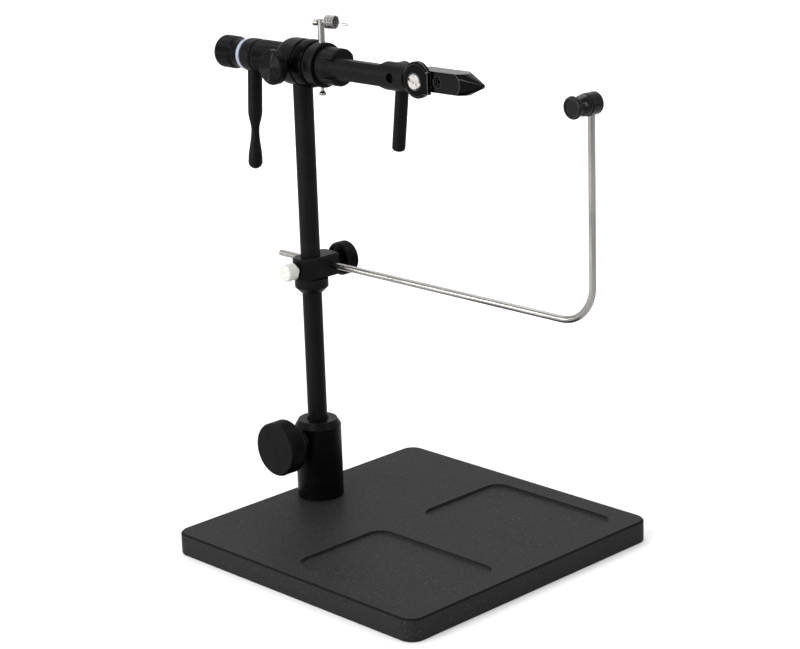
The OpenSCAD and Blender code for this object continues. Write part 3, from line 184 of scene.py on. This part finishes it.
def make_softboxes():
    for name, (place, target, width, height, power) in SOFTBOXES.items():
        data = bpy.data.lights.new(name, "AREA")
        data.shape = "RECTANGLE"
        data.size = width
        data.size_y = height
        data.energy = power
        light = bpy.data.objects.new(name, data)
        light.location = place
        light.visible_camera = False
        light.rotation_euler = (Vector(target) - Vector(place)).to_track_quat("-Z", "Y").to_euler()
        bpy.context.scene.collection.objects.link(light)


# Materials. A noise scale is a number of features per metre

BEVEL_SAMPLES = 6
# Agreement of the true and the rounded normal where an edge starts to count, and where it counts in full
EDGE_START, EDGE_FULL = 0.995, 0.9
# Rise of the normal over which an upright face turns into a slope, and a slope into a level face
SLOPE_START, SLOPE_END = (0.08, 0.4), (0.8, 0.98)

# Stretch of the marks of a tool: a small number draws them out along that axis
TURNED_X, TURNED_Y, TURNED_Z = (1, 0.03, 0.03), (0.03, 1, 0.03), (0.03, 0.03, 1)
DRAWN_X, DRAWN_Z, DRAWN_XZ = (0.02, 1, 1), (1, 1, 0.02), (0.02, 1, 0.02)
GROUND_X, POLISHED_Y, MOTTLED = (0.05, 1, 1), (1, 0.03, 1), (0.7, 0.7, 0.7)

STEEL = (0.34, 0.328, 0.317)
WIRE = (0.13, 0.126, 0.12)
NICKEL = (0.6, 0.57, 0.55)
BRONZE = (0.45, 0.30, 0.12)


class Shader:
    """A Principled material with short calls for procedural inputs, in the piece's own coordinates."""

    def __init__(self, name, **values):
        self.material = bpy.data.materials.new(name)
        self.material.use_nodes = True
        self.nodes, self.links = nodes_of(self.material.node_tree)
        self.bsdf = self.nodes.new("ShaderNodeBsdfPrincipled")
        output = self.nodes.new("ShaderNodeOutputMaterial")
        self.links.new(self.bsdf.outputs[0], output.inputs["Surface"])
        self.place = self.nodes.new("ShaderNodeTexCoord")
        for key, value in values.items():
            self.bsdf.inputs[key.replace("_", " ")].default_value = value

    def noise(self, scale, detail, stretch=(1, 1, 1)):
        mapping = self.nodes.new("ShaderNodeMapping")
        mapping.inputs["Scale"].default_value = stretch
        self.links.new(self.place.outputs["Object"], mapping.inputs["Vector"])
        noise = self.nodes.new("ShaderNodeTexNoise")
        noise.inputs["Scale"].default_value = scale
        noise.inputs["Detail"].default_value = detail
        self.links.new(mapping.outputs[0], noise.inputs["Vector"])
        return noise.outputs["Fac"]

    def ranged(self, value, low, high, to_low=0, to_high=1):
        node = self.nodes.new("ShaderNodeMapRange")
        for key, number in (("From Min", low), ("From Max", high), ("To Min", to_low), ("To Max", to_high)):
            node.inputs[key].default_value = number
        self.links.new(value, node.inputs["Value"])
        return node.outputs["Result"]

    def mixed(self, factor, a, b):
        """A mix of two colours, each a tuple or another node's output."""
        node = self.nodes.new("ShaderNodeMix")
        node.data_type = "RGBA"
        self.links.new(factor, node.inputs["Factor"])
        for socket, value in ((node.inputs["A"], a), (node.inputs["B"], b)):
            if isinstance(value, tuple):
                socket.default_value = (*value, 1)
            else:
                self.links.new(value, socket)
        return node.outputs["Result"]

    def edges(self, radius):
        """1 on edges sharper than the radius and 0 on faces, and the normal with such edges rounded."""
        bevel = self.nodes.new("ShaderNodeBevel")
        bevel.samples = BEVEL_SAMPLES
        bevel.inputs["Radius"].default_value = radius
        geometry = self.nodes.new("ShaderNodeNewGeometry")
        dot = self.nodes.new("ShaderNodeVectorMath")
        dot.operation = "DOT_PRODUCT"
        self.links.new(bevel.outputs[0], dot.inputs[0])
        self.links.new(geometry.outputs["Normal"], dot.inputs[1])
        return self.ranged(dot.outputs["Value"], EDGE_START, EDGE_FULL), bevel.outputs[0]

    def slopes(self):
        """1 on rounded edges that face halfway up, 0 on upright and level faces."""
        geometry = self.nodes.new("ShaderNodeNewGeometry")
        parts = self.nodes.new("ShaderNodeSeparateXYZ")
        self.links.new(geometry.outputs["Normal"], parts.inputs[0])
        rise = self.ranged(parts.outputs["Z"], *SLOPE_START)
        fall = self.ranged(parts.outputs["Z"], *SLOPE_END, 1, 0)
        both = self.nodes.new("ShaderNodeMath")
        both.operation = "MULTIPLY"
        self.links.new(rise, both.inputs[0])
        self.links.new(fall, both.inputs[1])
        return both.outputs[0]

    def bump(self, height, depth, strength, normal=None):
        node = self.nodes.new("ShaderNodeBump")
        node.inputs["Strength"].default_value = strength
        node.inputs["Distance"].default_value = depth
        self.links.new(height, node.inputs["Height"])
        if normal is not None:
            self.links.new(normal, node.inputs["Normal"])
        return node.outputs[0]

    def set(self, socket, value):
        self.links.new(value, self.bsdf.inputs[socket])


def powder_coat():
    """Black powder coat: fine grain, rare bright specks, a painted sheen on edges, and a painted dark
    reflection along rounded edges.
    """
    pit, peak = (0.0105, 0.0103, 0.0111), (0.0335, 0.033, 0.035)
    haze, bright_speck = (0.0245, 0.0242, 0.0258), (0.07, 0.07, 0.073)
    edge_sheen, painted_dark_edge = (0.045, 0.045, 0.048), (0.003, 0.003, 0.0034)
    s = Shader("powder_coat", IOR=1.45, Specular_IOR_Level=0.05)
    edge, soft = s.edges(0.5 * MM)
    grain = s.noise(scale=1900, detail=4)
    cloud = s.noise(scale=38, detail=3)
    speck = s.noise(scale=900, detail=1)
    tone = s.mixed(s.ranged(grain, 0.42, 0.66), pit, peak)
    tone = s.mixed(s.ranged(cloud, 0.3, 0.7, 0, 0.3), tone, haze)
    tone = s.mixed(s.ranged(speck, 0.66, 0.74, 0, 0.6), tone, bright_speck)
    # Painted highlight: edges a little lighter, as a sheen
    tone = s.mixed(s.ranged(edge, 0, 1, 0, 0.3), tone, edge_sheen)
    # Painted reflection: a thin dark line on rounded edges that face halfway up
    tone = s.mixed(s.ranged(s.slopes(), 0, 1, 0, 0.85), tone, painted_dark_edge)
    s.set("Base Color", tone)
    s.set("Roughness", s.ranged(grain, 0.35, 0.65, 0.44, 0.56))
    s.set("Normal", s.bump(grain, 0.05 * MM, 0.5, soft))
    return s.material


def satin_black(name, stretch, tint=0.0038, rough=0.38, line=0.25, shine=0.06, sheen_share=0.55, sheen_tone=0.06):
    """Black anodised metal with fine tool marks of depth line, and a painted highlight on edges, whose
    strength and tone the last two arguments give.
    """
    dark, pale = (tint * 0.8,) * 3, (tint * 1.35, tint * 1.35, tint * 1.45)
    mark, edge_sheen = (tint * 2.1,) * 3, (sheen_tone, sheen_tone, sheen_tone * 1.06)
    s = Shader(name, IOR=1.45, Specular_IOR_Level=shine)
    edge, soft = s.edges(0.3 * MM)
    marks = s.noise(scale=900, detail=2, stretch=stretch)
    cloud = s.noise(scale=90, detail=2)
    tone = s.mixed(s.ranged(cloud, 0.3, 0.7), dark, pale)
    tone = s.mixed(s.ranged(marks, 0.45, 0.75, 0, 0.5), tone, mark)
    # Painted highlight: edges lighter, towards a pale tone
    tone = s.mixed(s.ranged(edge, 0, 1, 0, sheen_share), tone, edge_sheen)
    s.set("Base Color", tone)
    s.set("Roughness", s.ranged(marks, 0.3, 0.7, rough - 0.05, rough + 0.07))
    s.set("Normal", s.bump(marks, 0.012 * MM, line, soft))
    return s.material


def gloss_black(name, stretch, index, rough, shine):
    """Polished black steel with long faint lines left by grinding, and painted highlights on its edges."""
    dark, pale, edge_highlight = (0.0009, 0.0009, 0.0011), (0.0024, 0.0024, 0.0027), (0.2, 0.2, 0.205)
    s = Shader(name, IOR=index, Specular_IOR_Level=shine)
    edge, soft = s.edges(0.2 * MM)
    lines = s.noise(scale=1200, detail=2, stretch=stretch)
    tone = s.mixed(s.ranged(lines, 0.4, 0.7), dark, pale)
    # Painted highlight: edges bright grey
    tone = s.mixed(s.ranged(edge, 0, 1), tone, edge_highlight)
    s.set("Base Color", tone)
    s.set("Roughness", s.ranged(lines, 0.3, 0.7, rough, rough + 0.08))
    s.set("Normal", s.bump(lines, 0.003 * MM, 0.3, soft))
    return s.material


def knurled_black(name, shine, rough):
    """Black anodised metal, rubbed a little lighter in places."""
    dark, pale = (0.0016, 0.0016, 0.002), (0.0042, 0.0042, 0.005)
    s = Shader(name, IOR=1.5, Specular_IOR_Level=shine)
    wear = s.noise(scale=260, detail=3)
    grain = s.noise(scale=2600, detail=2)
    s.set("Base Color", s.mixed(s.ranged(wear, 0.35, 0.7), dark, pale))
    s.set("Roughness", s.ranged(wear, 0.3, 0.7, rough, rough + 0.08))
    s.set("Normal", s.bump(grain, 0.006 * MM, 0.4))
    return s.material


def bright_steel(name, stretch, colour, rough):
    """Bare metal with drawn or turned marks and faint clouds."""
    dark, dull = tuple(c * 0.6 for c in colour), tuple(c * 0.85 for c in colour)
    s = Shader(name, Metallic=1)
    marks = s.noise(scale=1500, detail=3, stretch=stretch)
    cloud = s.noise(scale=60, detail=2)
    tone = s.mixed(s.ranged(marks, 0.35, 0.65), dark, colour)
    tone = s.mixed(s.ranged(cloud, 0.35, 0.65, 0, 0.25), tone, dull)
    s.set("Base Color", tone)
    s.set("Roughness", s.ranged(marks, 0.3, 0.7, rough - 0.06, rough + 0.1))
    s.set("Normal", s.bump(marks, 0.003 * MM, 0.2))
    return s.material


def nylon(name, low, high):
    """Milky moulded nylon."""
    s = Shader(name, IOR=1.53, Specular_IOR_Level=0.45, Subsurface_Weight=0.35)
    s.bsdf.inputs["Subsurface Radius"].default_value = (1.0, 1.0, 0.9)
    s.bsdf.inputs["Subsurface Scale"].default_value = 1.2 * MM
    cloud = s.noise(scale=420, detail=3)
    s.set("Base Color", s.mixed(s.ranged(cloud, 0.3, 0.7), low, high))
    s.set("Roughness", s.ranged(cloud, 0.3, 0.7, 0.3, 0.42))
    s.set("Normal", s.bump(cloud, 0.04 * MM, 0.4))
    return s.material


def pad_rubber():
    """Dull black rubber."""
    dark, pale = (0.008, 0.008, 0.008), (0.02, 0.02, 0.02)
    s = Shader("pad_rubber", IOR=1.5, Specular_IOR_Level=0.25)
    grain = s.noise(scale=1400, detail=3)
    s.set("Base Color", s.mixed(s.ranged(grain, 0.3, 0.7), dark, pale))
    s.set("Roughness", s.ranged(grain, 0.3, 0.7, 0.75, 0.9))
    s.set("Normal", s.bump(grain, 0.08 * MM, 0.6))
    return s.material


def make_materials():
    return {
        "powder_coat": powder_coat(),
        "turned_x": satin_black("satin_black_turned_x", TURNED_X),
        "turned_y": satin_black("satin_black_turned_y", TURNED_Y),
        "turned_z": satin_black("satin_black_turned_z", TURNED_Z),
        "milled_x": satin_black("satin_black_milled", DRAWN_X, tint=0.0040, rough=0.4),
        # The cheek has the strongest painted highlight on its edges
        "cheek": satin_black("satin_black_cheek", DRAWN_X, tint=0.0012, rough=0.3, line=0.2, shine=0.04,
                             sheen_share=1, sheen_tone=0.34),
        "stem": satin_black("satin_black_stem", DRAWN_Z, tint=0.0045, rough=0.42),
        "post": satin_black("satin_black_post", TURNED_Z, tint=0.0015, rough=0.34, shine=0.07),
        "gloss_black": gloss_black("gloss_black_ground", GROUND_X, index=1.35, rough=0.06, shine=0.13),
        "gloss_turned": gloss_black("gloss_black_turned", POLISHED_Y, index=1.45, rough=0.08, shine=0.16),
        "gloss_ring": gloss_black("gloss_black_ring", TURNED_X, index=1.45, rough=0.16, shine=0.025),
        "knurled": knurled_black("knurled_black", shine=0.055, rough=0.28),
        "faced": knurled_black("faced_black", shine=0.05, rough=0.12),
        "rod": bright_steel("bright_rod", DRAWN_XZ, STEEL, rough=0.22),
        "steel": bright_steel("bright_steel", DRAWN_Z, STEEL, rough=0.24),
        "wire": bright_steel("spring_wire", TURNED_X, WIRE, rough=0.3),
        "nickel": bright_steel("nickel", MOTTLED, NICKEL, rough=0.16),
        "bronze": bright_steel("bronze", TURNED_X, BRONZE, rough=0.35),
        "nylon": nylon("white_nylon", (0.56, 0.565, 0.525), (0.62, 0.625, 0.585)),
        "washer": nylon("blue_white_nylon", (0.25, 0.28, 0.36), (0.32, 0.35, 0.44)),
        "pad_rubber": pad_rubber(),
    }


# Material of each node of the frame
DRESS = {
    "base_plate": "powder_coat", "base_pad": "pad_rubber", "post_bolt": "steel", "stem_post": "post",
    "stem_lock_knob": "turned_y", "stem_lock_screw": "steel", "stem": "stem", "stop_collar": "turned_z",
    "stop_collar_screw": "steel", "cradle_clamp": "milled_x", "clamp_knob": "turned_y", "clamp_stud": "steel",
    "nylon_screw": "nylon", "cradle_rod": "rod", "bobbin_rest": "gloss_turned", "head_body": "turned_x",
    "front_ring": "gloss_ring", "rear_barrel": "turned_x", "shaft_bushings": "bronze",
    "rotary_shaft": "steel", "head_lock_knob": "turned_y", "head_lock_screw": "steel",
    "crank_hub": "turned_x", "crank_handle": "turned_z", "nylon_washer": "washer", "tension_knob": "turned_x",
    "clip_collar": "turned_x", "clip_post": "steel", "clip_spool": "steel", "clip_screw": "steel",
    "material_spring": "steel", "wire_guide": "steel", "clip_lock_screw": "steel", "arm": "milled_x",
    "cam": "turned_y", "cam_lever": "turned_z", "jaw_holder": "cheek", "jaw_near": "gloss_black",
    "jaw_far": "gloss_black", "jaw_dowels": "steel", "jaw_spring": "steel", "pivot_screw": "nickel",
    "jaw_screw": "turned_y",
}


def dress_frame(materials):
    for name, finish in DRESS.items():
        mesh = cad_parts[name].data
        mesh.materials.clear()
        mesh.materials.append(materials[finish])


# Mesh helpers

def new_piece(name, mesh, material, body, *nodes):
    """A piece that rides on a body and stands for the nodes."""
    mesh.materials.append(material)
    piece = bpy.data.objects.new(name, mesh)
    bpy.context.scene.collection.objects.link(piece)
    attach(piece, body)
    if nodes:
        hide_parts(*nodes)


def finished_mesh(name, mesh, matrix):
    """The working mesh as a Blender mesh, its faces outward, carried by the matrix."""
    bmesh.ops.recalc_face_normals(mesh, faces=mesh.faces)
    mesh.transform(matrix)
    out = bpy.data.meshes.new(name)
    mesh.to_mesh(out)
    mesh.free()
    return out


def axis_frame(place, along, across):
    """Matrix that carries local Z to along and local X to across."""
    along, across = Vector(along), Vector(across)
    axes = Matrix((across, along.cross(across), along)).transposed()
    return Matrix.Translation(place) @ axes.to_4x4()


def arc(radius, height, bend, start, end, steps=6):
    """Points of a round edge about (radius, height), with its angles in degrees."""
    angles = [math.radians(start + (end - start) * i / steps) for i in range(steps + 1)]
    return [(radius + bend * math.cos(a), height + bend * math.sin(a)) for a in angles]


def circle(radius, height, steps):
    """Points of a circle about local Z."""
    return [(radius * math.cos(TURN * i / steps), radius * math.sin(TURN * i / steps), height)
            for i in range(steps)]


def turned_mesh(name, path, columns, matrix, closed=False):
    """A mesh turned about Z. A step of the path is (radius, height) or a knurl row (even, height, odd)."""
    mesh = bmesh.new()
    rings = []
    for step in path:
        even, height, odd = step if len(step) == 3 else (step[0], step[1], step[0])
        if even == 0:
            rings.append((mesh.verts.new((0, 0, height)),))
            continue
        ring = []
        for k in range(columns):
            radius = odd if k % 2 else even
            angle = TURN * k / columns
            ring.append(mesh.verts.new((radius * math.cos(angle), radius * math.sin(angle), height)))
        rings.append(tuple(ring))
    steps = list(zip(path, rings))
    pairs = list(zip(steps, steps[1:] + steps[:1])) if closed else list(zip(steps, steps[1:]))
    for (step_a, a), (step_b, b) in pairs:
        knurled = len(step_a) == 3 and len(step_b) == 3
        for k in range(columns):
            n = (k + 1) % columns
            if len(a) == 1:
                mesh.faces.new((a[0], b[n], b[k])).smooth = True
            elif len(b) == 1:
                mesh.faces.new((a[k], a[n], b[0])).smooth = True
            elif not knurled:
                mesh.faces.new((a[k], a[n], b[n], b[k])).smooth = True
            elif (step_a[0] < step_a[2] or step_b[0] > step_b[2]) == (k % 2 == 0):
                mesh.faces.new((a[k], a[n], b[n]))
                mesh.faces.new((a[k], b[n], b[k]))
            else:
                mesh.faces.new((a[k], a[n], b[k]))
                mesh.faces.new((a[n], b[n], b[k]))
    out = finished_mesh(name, mesh, matrix)
    out.set_sharp_from_angle(angle=SHARP_ANGLE)
    return out


def swept_mesh(name, points, radius, sides, matrix, closed=False):
    """A round wire along points."""
    mesh = bmesh.new()
    count = len(points)
    points = [Vector(point) for point in points]
    rings = []
    side = None
    for i, point in enumerate(points):
        ahead = points[(i + 1) % count] if closed else points[min(i + 1, count - 1)]
        behind = points[i - 1] if closed else points[max(i - 1, 0)]
        way = (ahead - behind).normalized()
        if side is None:
            side = way.orthogonal()
        side = (side - way * side.dot(way)).normalized()
        other = way.cross(side)
        rings.append([mesh.verts.new(point + radius * (math.cos(TURN * k / sides) * side
                                                       + math.sin(TURN * k / sides) * other))
                      for k in range(sides)])
    for i in range(count if closed else count - 1):
        a, b = rings[i], rings[(i + 1) % count]
        for k in range(sides):
            n = (k + 1) % sides
            mesh.faces.new((a[k], a[n], b[n], b[k])).smooth = True
    if not closed:
        mesh.faces.new(list(reversed(rings[0])))
        mesh.faces.new(rings[-1])
    return finished_mesh(name, mesh, matrix)


def smooth_path(points, steps=8):
    """A smooth curve through points."""
    points = [Vector(point) for point in points]
    ends = [2 * points[0] - points[1]] + points + [2 * points[-1] - points[-2]]
    path = []
    for a, b, c, d in zip(ends, ends[1:], ends[2:], ends[3:]):
        for i in range(steps):
            t = i / steps
            path.append(0.5 * (2 * b + (c - a) * t + (2 * a - 5 * b + 4 * c - d) * t * t
                               + (3 * b - a - 3 * c + d) * t * t * t))
    return path + [points[-1]]


# Knurled knobs and the knurled rear barrel, each turned about its own axis

KNURL_PITCH = 0.9 * MM
KNURL_DEPTH = 0.24 * MM
FACE_RINGS = 64
FACE_GROOVE = 0.06 * MM
# Depth of four rings in a row, as shares of a groove
GROOVE_SHARES = (0, 0.5, 1, 0.5)


def knurl(radius, low, high):
    """Rows of a diamond knurl: the height of each row, and the radii of its even and odd columns."""
    rows = 2 * round((high - low) / KNURL_PITCH)
    heights = [low + (high - low) * i / rows for i in range(rows + 1)]
    floor = radius - KNURL_DEPTH
    between = [(floor, heights[i], radius) if i % 2 == 0 else (radius, heights[i], floor)
               for i in range(1, rows)]
    return [(floor, heights[0], floor)] + between + [(floor, heights[-1], floor)]


def faced(outer, inner, height):
    """Rings of a faced end, with the fine grooves that the lathe's tool leaves, and the end's middle."""
    rings = [(outer + (inner - outer) * i / FACE_RINGS, height - FACE_GROOVE * GROOVE_SHARES[i % 4])
             for i in range(FACE_RINGS + 1)]
    return rings + [(0, height)]


def turned_size(node, axis):
    """Radius of a node that is turned about the axis, and its length along it."""
    low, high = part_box(node)
    return (high[Z_AXIS] - low[Z_AXIS]) / 2, high[axis] - low[axis]


def turned_piece(name, node, body, material, path, axis, way, closed=False):
    """A piece turned about the node's axis. Its path starts at the node's end and runs along way, 1 or -1."""
    low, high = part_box(node)
    place = [(a + b) / 2 for a, b in zip(low, high)]
    place[axis] = low[axis] if way > 0 else high[axis]
    along, across = ((way, 0, 0), (0, 1, 0)) if axis == X_AXIS else ((0, way, 0), (1, 0, 0))
    radius = (high[Z_AXIS] - low[Z_AXIS]) / 2
    columns = 2 * round(TURN * radius / KNURL_PITCH)
    mesh = turned_mesh(name, path, columns, axis_frame(place, along, across), closed)
    new_piece(name, mesh, material, body, node)


def make_stem_lock_knob(materials):
    radius, face = turned_size("stem_lock_knob", Y_AXIS)
    hub, thick, edge = 6 * MM, 9.4 * MM, 1.2 * MM
    margin, middle = 0.3 * MM, 0.6 * MM
    back = face - thick
    path = [(0, 0), (hub, 0), (hub, back)] + arc(radius - edge, back + edge, edge, -90, -12)
    path += knurl(radius, back + edge, face - edge)
    path += arc(radius - edge, face - edge, edge, 12, 90)
    path += faced(radius - edge - margin, middle, face)
    turned_piece("stem_lock_knob_turned", "stem_lock_knob", "stem_lock", materials["knurled"], path,
                 Y_AXIS, -1)


def make_head_lock_knob(materials):
    radius, face = turned_size("head_lock_knob", Y_AXIS)
    hub, thick, edge = 4.25 * MM, 4.4 * MM, 0.5 * MM
    margin, middle = 0.2 * MM, 0.5 * MM
    back = face - thick
    path = [(0, 0), (hub, 0), (hub, back), (radius - edge - KNURL_DEPTH, back)]
    path += knurl(radius, back + edge, face - edge)
    path += arc(radius - 2 * edge, face - edge, edge, 0, 90, steps=3)
    path += faced(radius - 2 * edge - margin, middle, face)
    turned_piece("head_lock_knob_turned", "head_lock_knob", "head_lock", materials["faced"], path, Y_AXIS, -1)


def make_clamp_knob(materials):
    radius, face = turned_size("clamp_knob", Y_AXIS)
    hub, step, edge = 4.5 * MM, 3 * MM, 0.9 * MM
    margin, middle = 0.2 * MM, 0.5 * MM
    path = [(0, 0), (hub, 0), (hub, step + edge), (radius - 2 * edge, step + edge), (radius - 2 * edge, step),
            (radius - edge, step)]
    path += knurl(radius, step + edge, face - edge)
    path += arc(radius - 2 * edge, face - edge, edge, 0, 90)
    path += faced(radius - 2 * edge - margin, middle, face)
    turned_piece("clamp_knob_turned", "clamp_knob", "clamp_knob", materials["knurled"], path, Y_AXIS, 1)


def make_tension_knob(materials):
    radius, face = turned_size("tension_knob", X_AXIS)
    neck_radius, neck, bevel, edge, inset = 6.7 * MM, 5 * MM, 1.6 * MM, 2 * MM, 0.1 * MM
    line, line_depth, line_starts = 0.35 * MM, 0.3 * MM, (1.7 * MM, 3.1 * MM)
    margin, middle = 0.5 * MM, 0.5 * MM
    path = [(0, 0), (neck_radius, 0)]
    for start in line_starts:
        path += [(neck_radius, start), (neck_radius - line_depth, start + line / 2),
                 (neck_radius, start + line)]
    path += [(neck_radius, neck), (radius - KNURL_DEPTH, neck + bevel)]
    path += knurl(radius, neck + bevel, face - edge)
    path += arc(radius - edge - inset, face - edge, edge, 8, 90, steps=10)
    path += faced(radius - edge - margin, middle, face)
    turned_piece("tension_knob_turned", "tension_knob", "tension_knob", materials["knurled"], path,
                 X_AXIS, -1)


def make_rear_barrel(materials):
    radius, length = turned_size("rear_barrel", X_AXIS)
    bore, edge, plain, bend_share = 6.02 * MM, 1 * MM, 0.6 * MM, 0.4
    path = [(bore, 0), (radius - edge, 0), (radius - bend_share * edge, bend_share * edge),
            (radius - KNURL_DEPTH, edge)]
    path += knurl(radius, edge, length - plain)
    path += [(radius - KNURL_DEPTH, length), (bore, length)]
    turned_piece("rear_barrel_knurled", "rear_barrel", "stem", materials["knurled"], path,
                 X_AXIS, 1, closed=True)


# Material clip: a close wound coil on a spool, its rim, the wires hooked over the rim and the hairpin.
# In its frame, local X is up and local Z runs along the coil, so a point is (up, across, along)

CLIP_TURN = math.radians(16)
CLIP_POST_RADIUS = 1.5875 * MM
SPRING_START = 3.0 * MM
SPRING_RISE = 0.45 * MM
SPRING_LENGTH = 5.04 * MM
SPRING_RADIUS = 2.95 * MM
WIRE_RADIUS = 0.18 * MM
WIRE_SIDES = 8
COIL_TURNS = 12
COIL_STEPS = 28
RIM_RADIUS = 0.24 * MM
RIM_STEPS = 48
RIM_SIDES = 10
COIL_START = SPRING_START + WIRE_RADIUS
RIM_PLACE = SPRING_START + SPRING_LENGTH - RIM_RADIUS

SPOOL_START = 1.4 * MM
SPOOL_BORE = 0.8 * MM
SPOOL_BARREL = 1.3 * MM
SPOOL_FLANGE = 0.3 * MM
SPOOL_INSET = 0.1 * MM
SPOOL_COLUMNS = 40

# Places up and across of the points of a wire's hook over the rim, as shares of the spring's radius,
# and how far each point lies past the rim
HOOK_SHARES = ((0.72, -0.66), (0.66, -0.2), (0.3, 0.22))
HOOK_RISE = (0, 0, 0.1 * MM)
HAIRPIN_REACH = 6.3 * MM
HAIRPIN_DROP = 0.5 * MM
HAIRPIN_GAP = 0.7 * MM
HAIRPIN_SPREAD = 0.4 * MM
HAIRPIN_RISE = 0.7 * MM
HAIRPIN_BEND = 0.17 * MM
LOWER_WIRE_RISE = 0.6 * MM


def clip_frame():
    low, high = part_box("clip_post")
    eye = ((low[0] + high[0]) / 2, (low[1] + high[1]) / 2, high[2] - CLIP_POST_RADIUS + SPRING_RISE)
    return axis_frame(eye, (math.cos(CLIP_TURN), math.sin(CLIP_TURN), 0), (0, 0, 1))


def make_clip_coil(material, matrix):
    span = RIM_PLACE - COIL_START - RIM_RADIUS
    total = COIL_TURNS * COIL_STEPS
    coil = [(SPRING_RADIUS * math.cos(TURN * i / COIL_STEPS), SPRING_RADIUS * math.sin(TURN * i / COIL_STEPS),
             COIL_START + span * i / total) for i in range(total + 1)]
    mesh = swept_mesh("clip_coil", coil, WIRE_RADIUS, WIRE_SIDES, matrix)
    new_piece("clip_coil", mesh, material, "clip", "material_spring")


def make_clip_spool(material, matrix):
    flange = SPRING_RADIUS - SPOOL_INSET
    end = COIL_START + SPRING_LENGTH / 2
    spool = [(SPOOL_BORE, SPOOL_START), (SPOOL_BARREL, SPOOL_START),
             (SPOOL_BARREL, COIL_START - SPOOL_FLANGE), (flange, COIL_START - SPOOL_FLANGE),
             (flange, COIL_START), (SPOOL_BARREL, COIL_START), (SPOOL_BARREL, end), (SPOOL_BORE, end)]
    mesh = turned_mesh("clip_spool_turned", spool, SPOOL_COLUMNS, matrix, closed=True)
    new_piece("clip_spool_turned", mesh, material, "clip", "clip_spool")


def make_clip_rim(material, matrix):
    rim = circle(SPRING_RADIUS, RIM_PLACE, RIM_STEPS)
    mesh = swept_mesh("clip_rim", rim, RIM_RADIUS, RIM_SIDES, matrix, closed=True)
    new_piece("clip_rim", mesh, material, "clip")


def hook(side):
    """Points of a wire's hook over the rim, on the upper side, 1, or the lower, -1."""
    return [(side * up * SPRING_RADIUS, side * across * SPRING_RADIUS, RIM_PLACE + rise)
            for (up, across), rise in zip(HOOK_SHARES, HOOK_RISE)]


def make_clip_wires(material, matrix):
    tip = SPRING_START + SPRING_LENGTH + HAIRPIN_REACH
    lower_leg = -HAIRPIN_DROP - HAIRPIN_GAP
    hairpin = hook(1) + [
        (0, 0.04 * SPRING_RADIUS, RIM_PLACE + HAIRPIN_RISE),
        (-0.3 * HAIRPIN_DROP, 0, RIM_PLACE + 0.35 * HAIRPIN_REACH),
        (-0.7 * HAIRPIN_DROP, 0, RIM_PLACE + 0.7 * HAIRPIN_REACH),
        (-HAIRPIN_DROP, 0, tip - HAIRPIN_GAP / 2),
        (-HAIRPIN_DROP - HAIRPIN_GAP / 2, 0, tip - HAIRPIN_BEND),
        (lower_leg, 0, tip - HAIRPIN_GAP / 2),
        (lower_leg - HAIRPIN_SPREAD / 2, 0, tip - HAIRPIN_REACH / 4),
        (lower_leg - HAIRPIN_SPREAD, 0, tip - HAIRPIN_REACH / 2),
    ]
    mesh = swept_mesh("clip_hairpin", smooth_path(hairpin), WIRE_RADIUS, WIRE_SIDES, matrix)
    new_piece("clip_hairpin", mesh, material, "clip", "wire_guide")
    middle = (0.02 * SPRING_RADIUS, -0.02 * SPRING_RADIUS, RIM_PLACE + LOWER_WIRE_RISE)
    mesh = swept_mesh("clip_cross_wire", smooth_path(hook(-1) + [middle]), WIRE_RADIUS, WIRE_SIDES, matrix)
    new_piece("clip_cross_wire", mesh, material, "clip")


def make_clip(materials):
    matrix = clip_frame()
    make_clip_coil(materials["steel"], matrix)
    make_clip_spool(materials["steel"], matrix)
    make_clip_rim(materials["rod"], matrix)
    make_clip_wires(materials["wire"], matrix)


make_camera()
make_world()
make_floor()
make_softboxes()
materials = make_materials()
dress_frame(materials)
make_stem_lock_knob(materials)
make_head_lock_knob(materials)
make_clamp_knob(materials)
make_tension_knob(materials)
make_rear_barrel(materials)
make_clip(materials)

bpy.context.scene.view_settings.view_transform = "Standard"
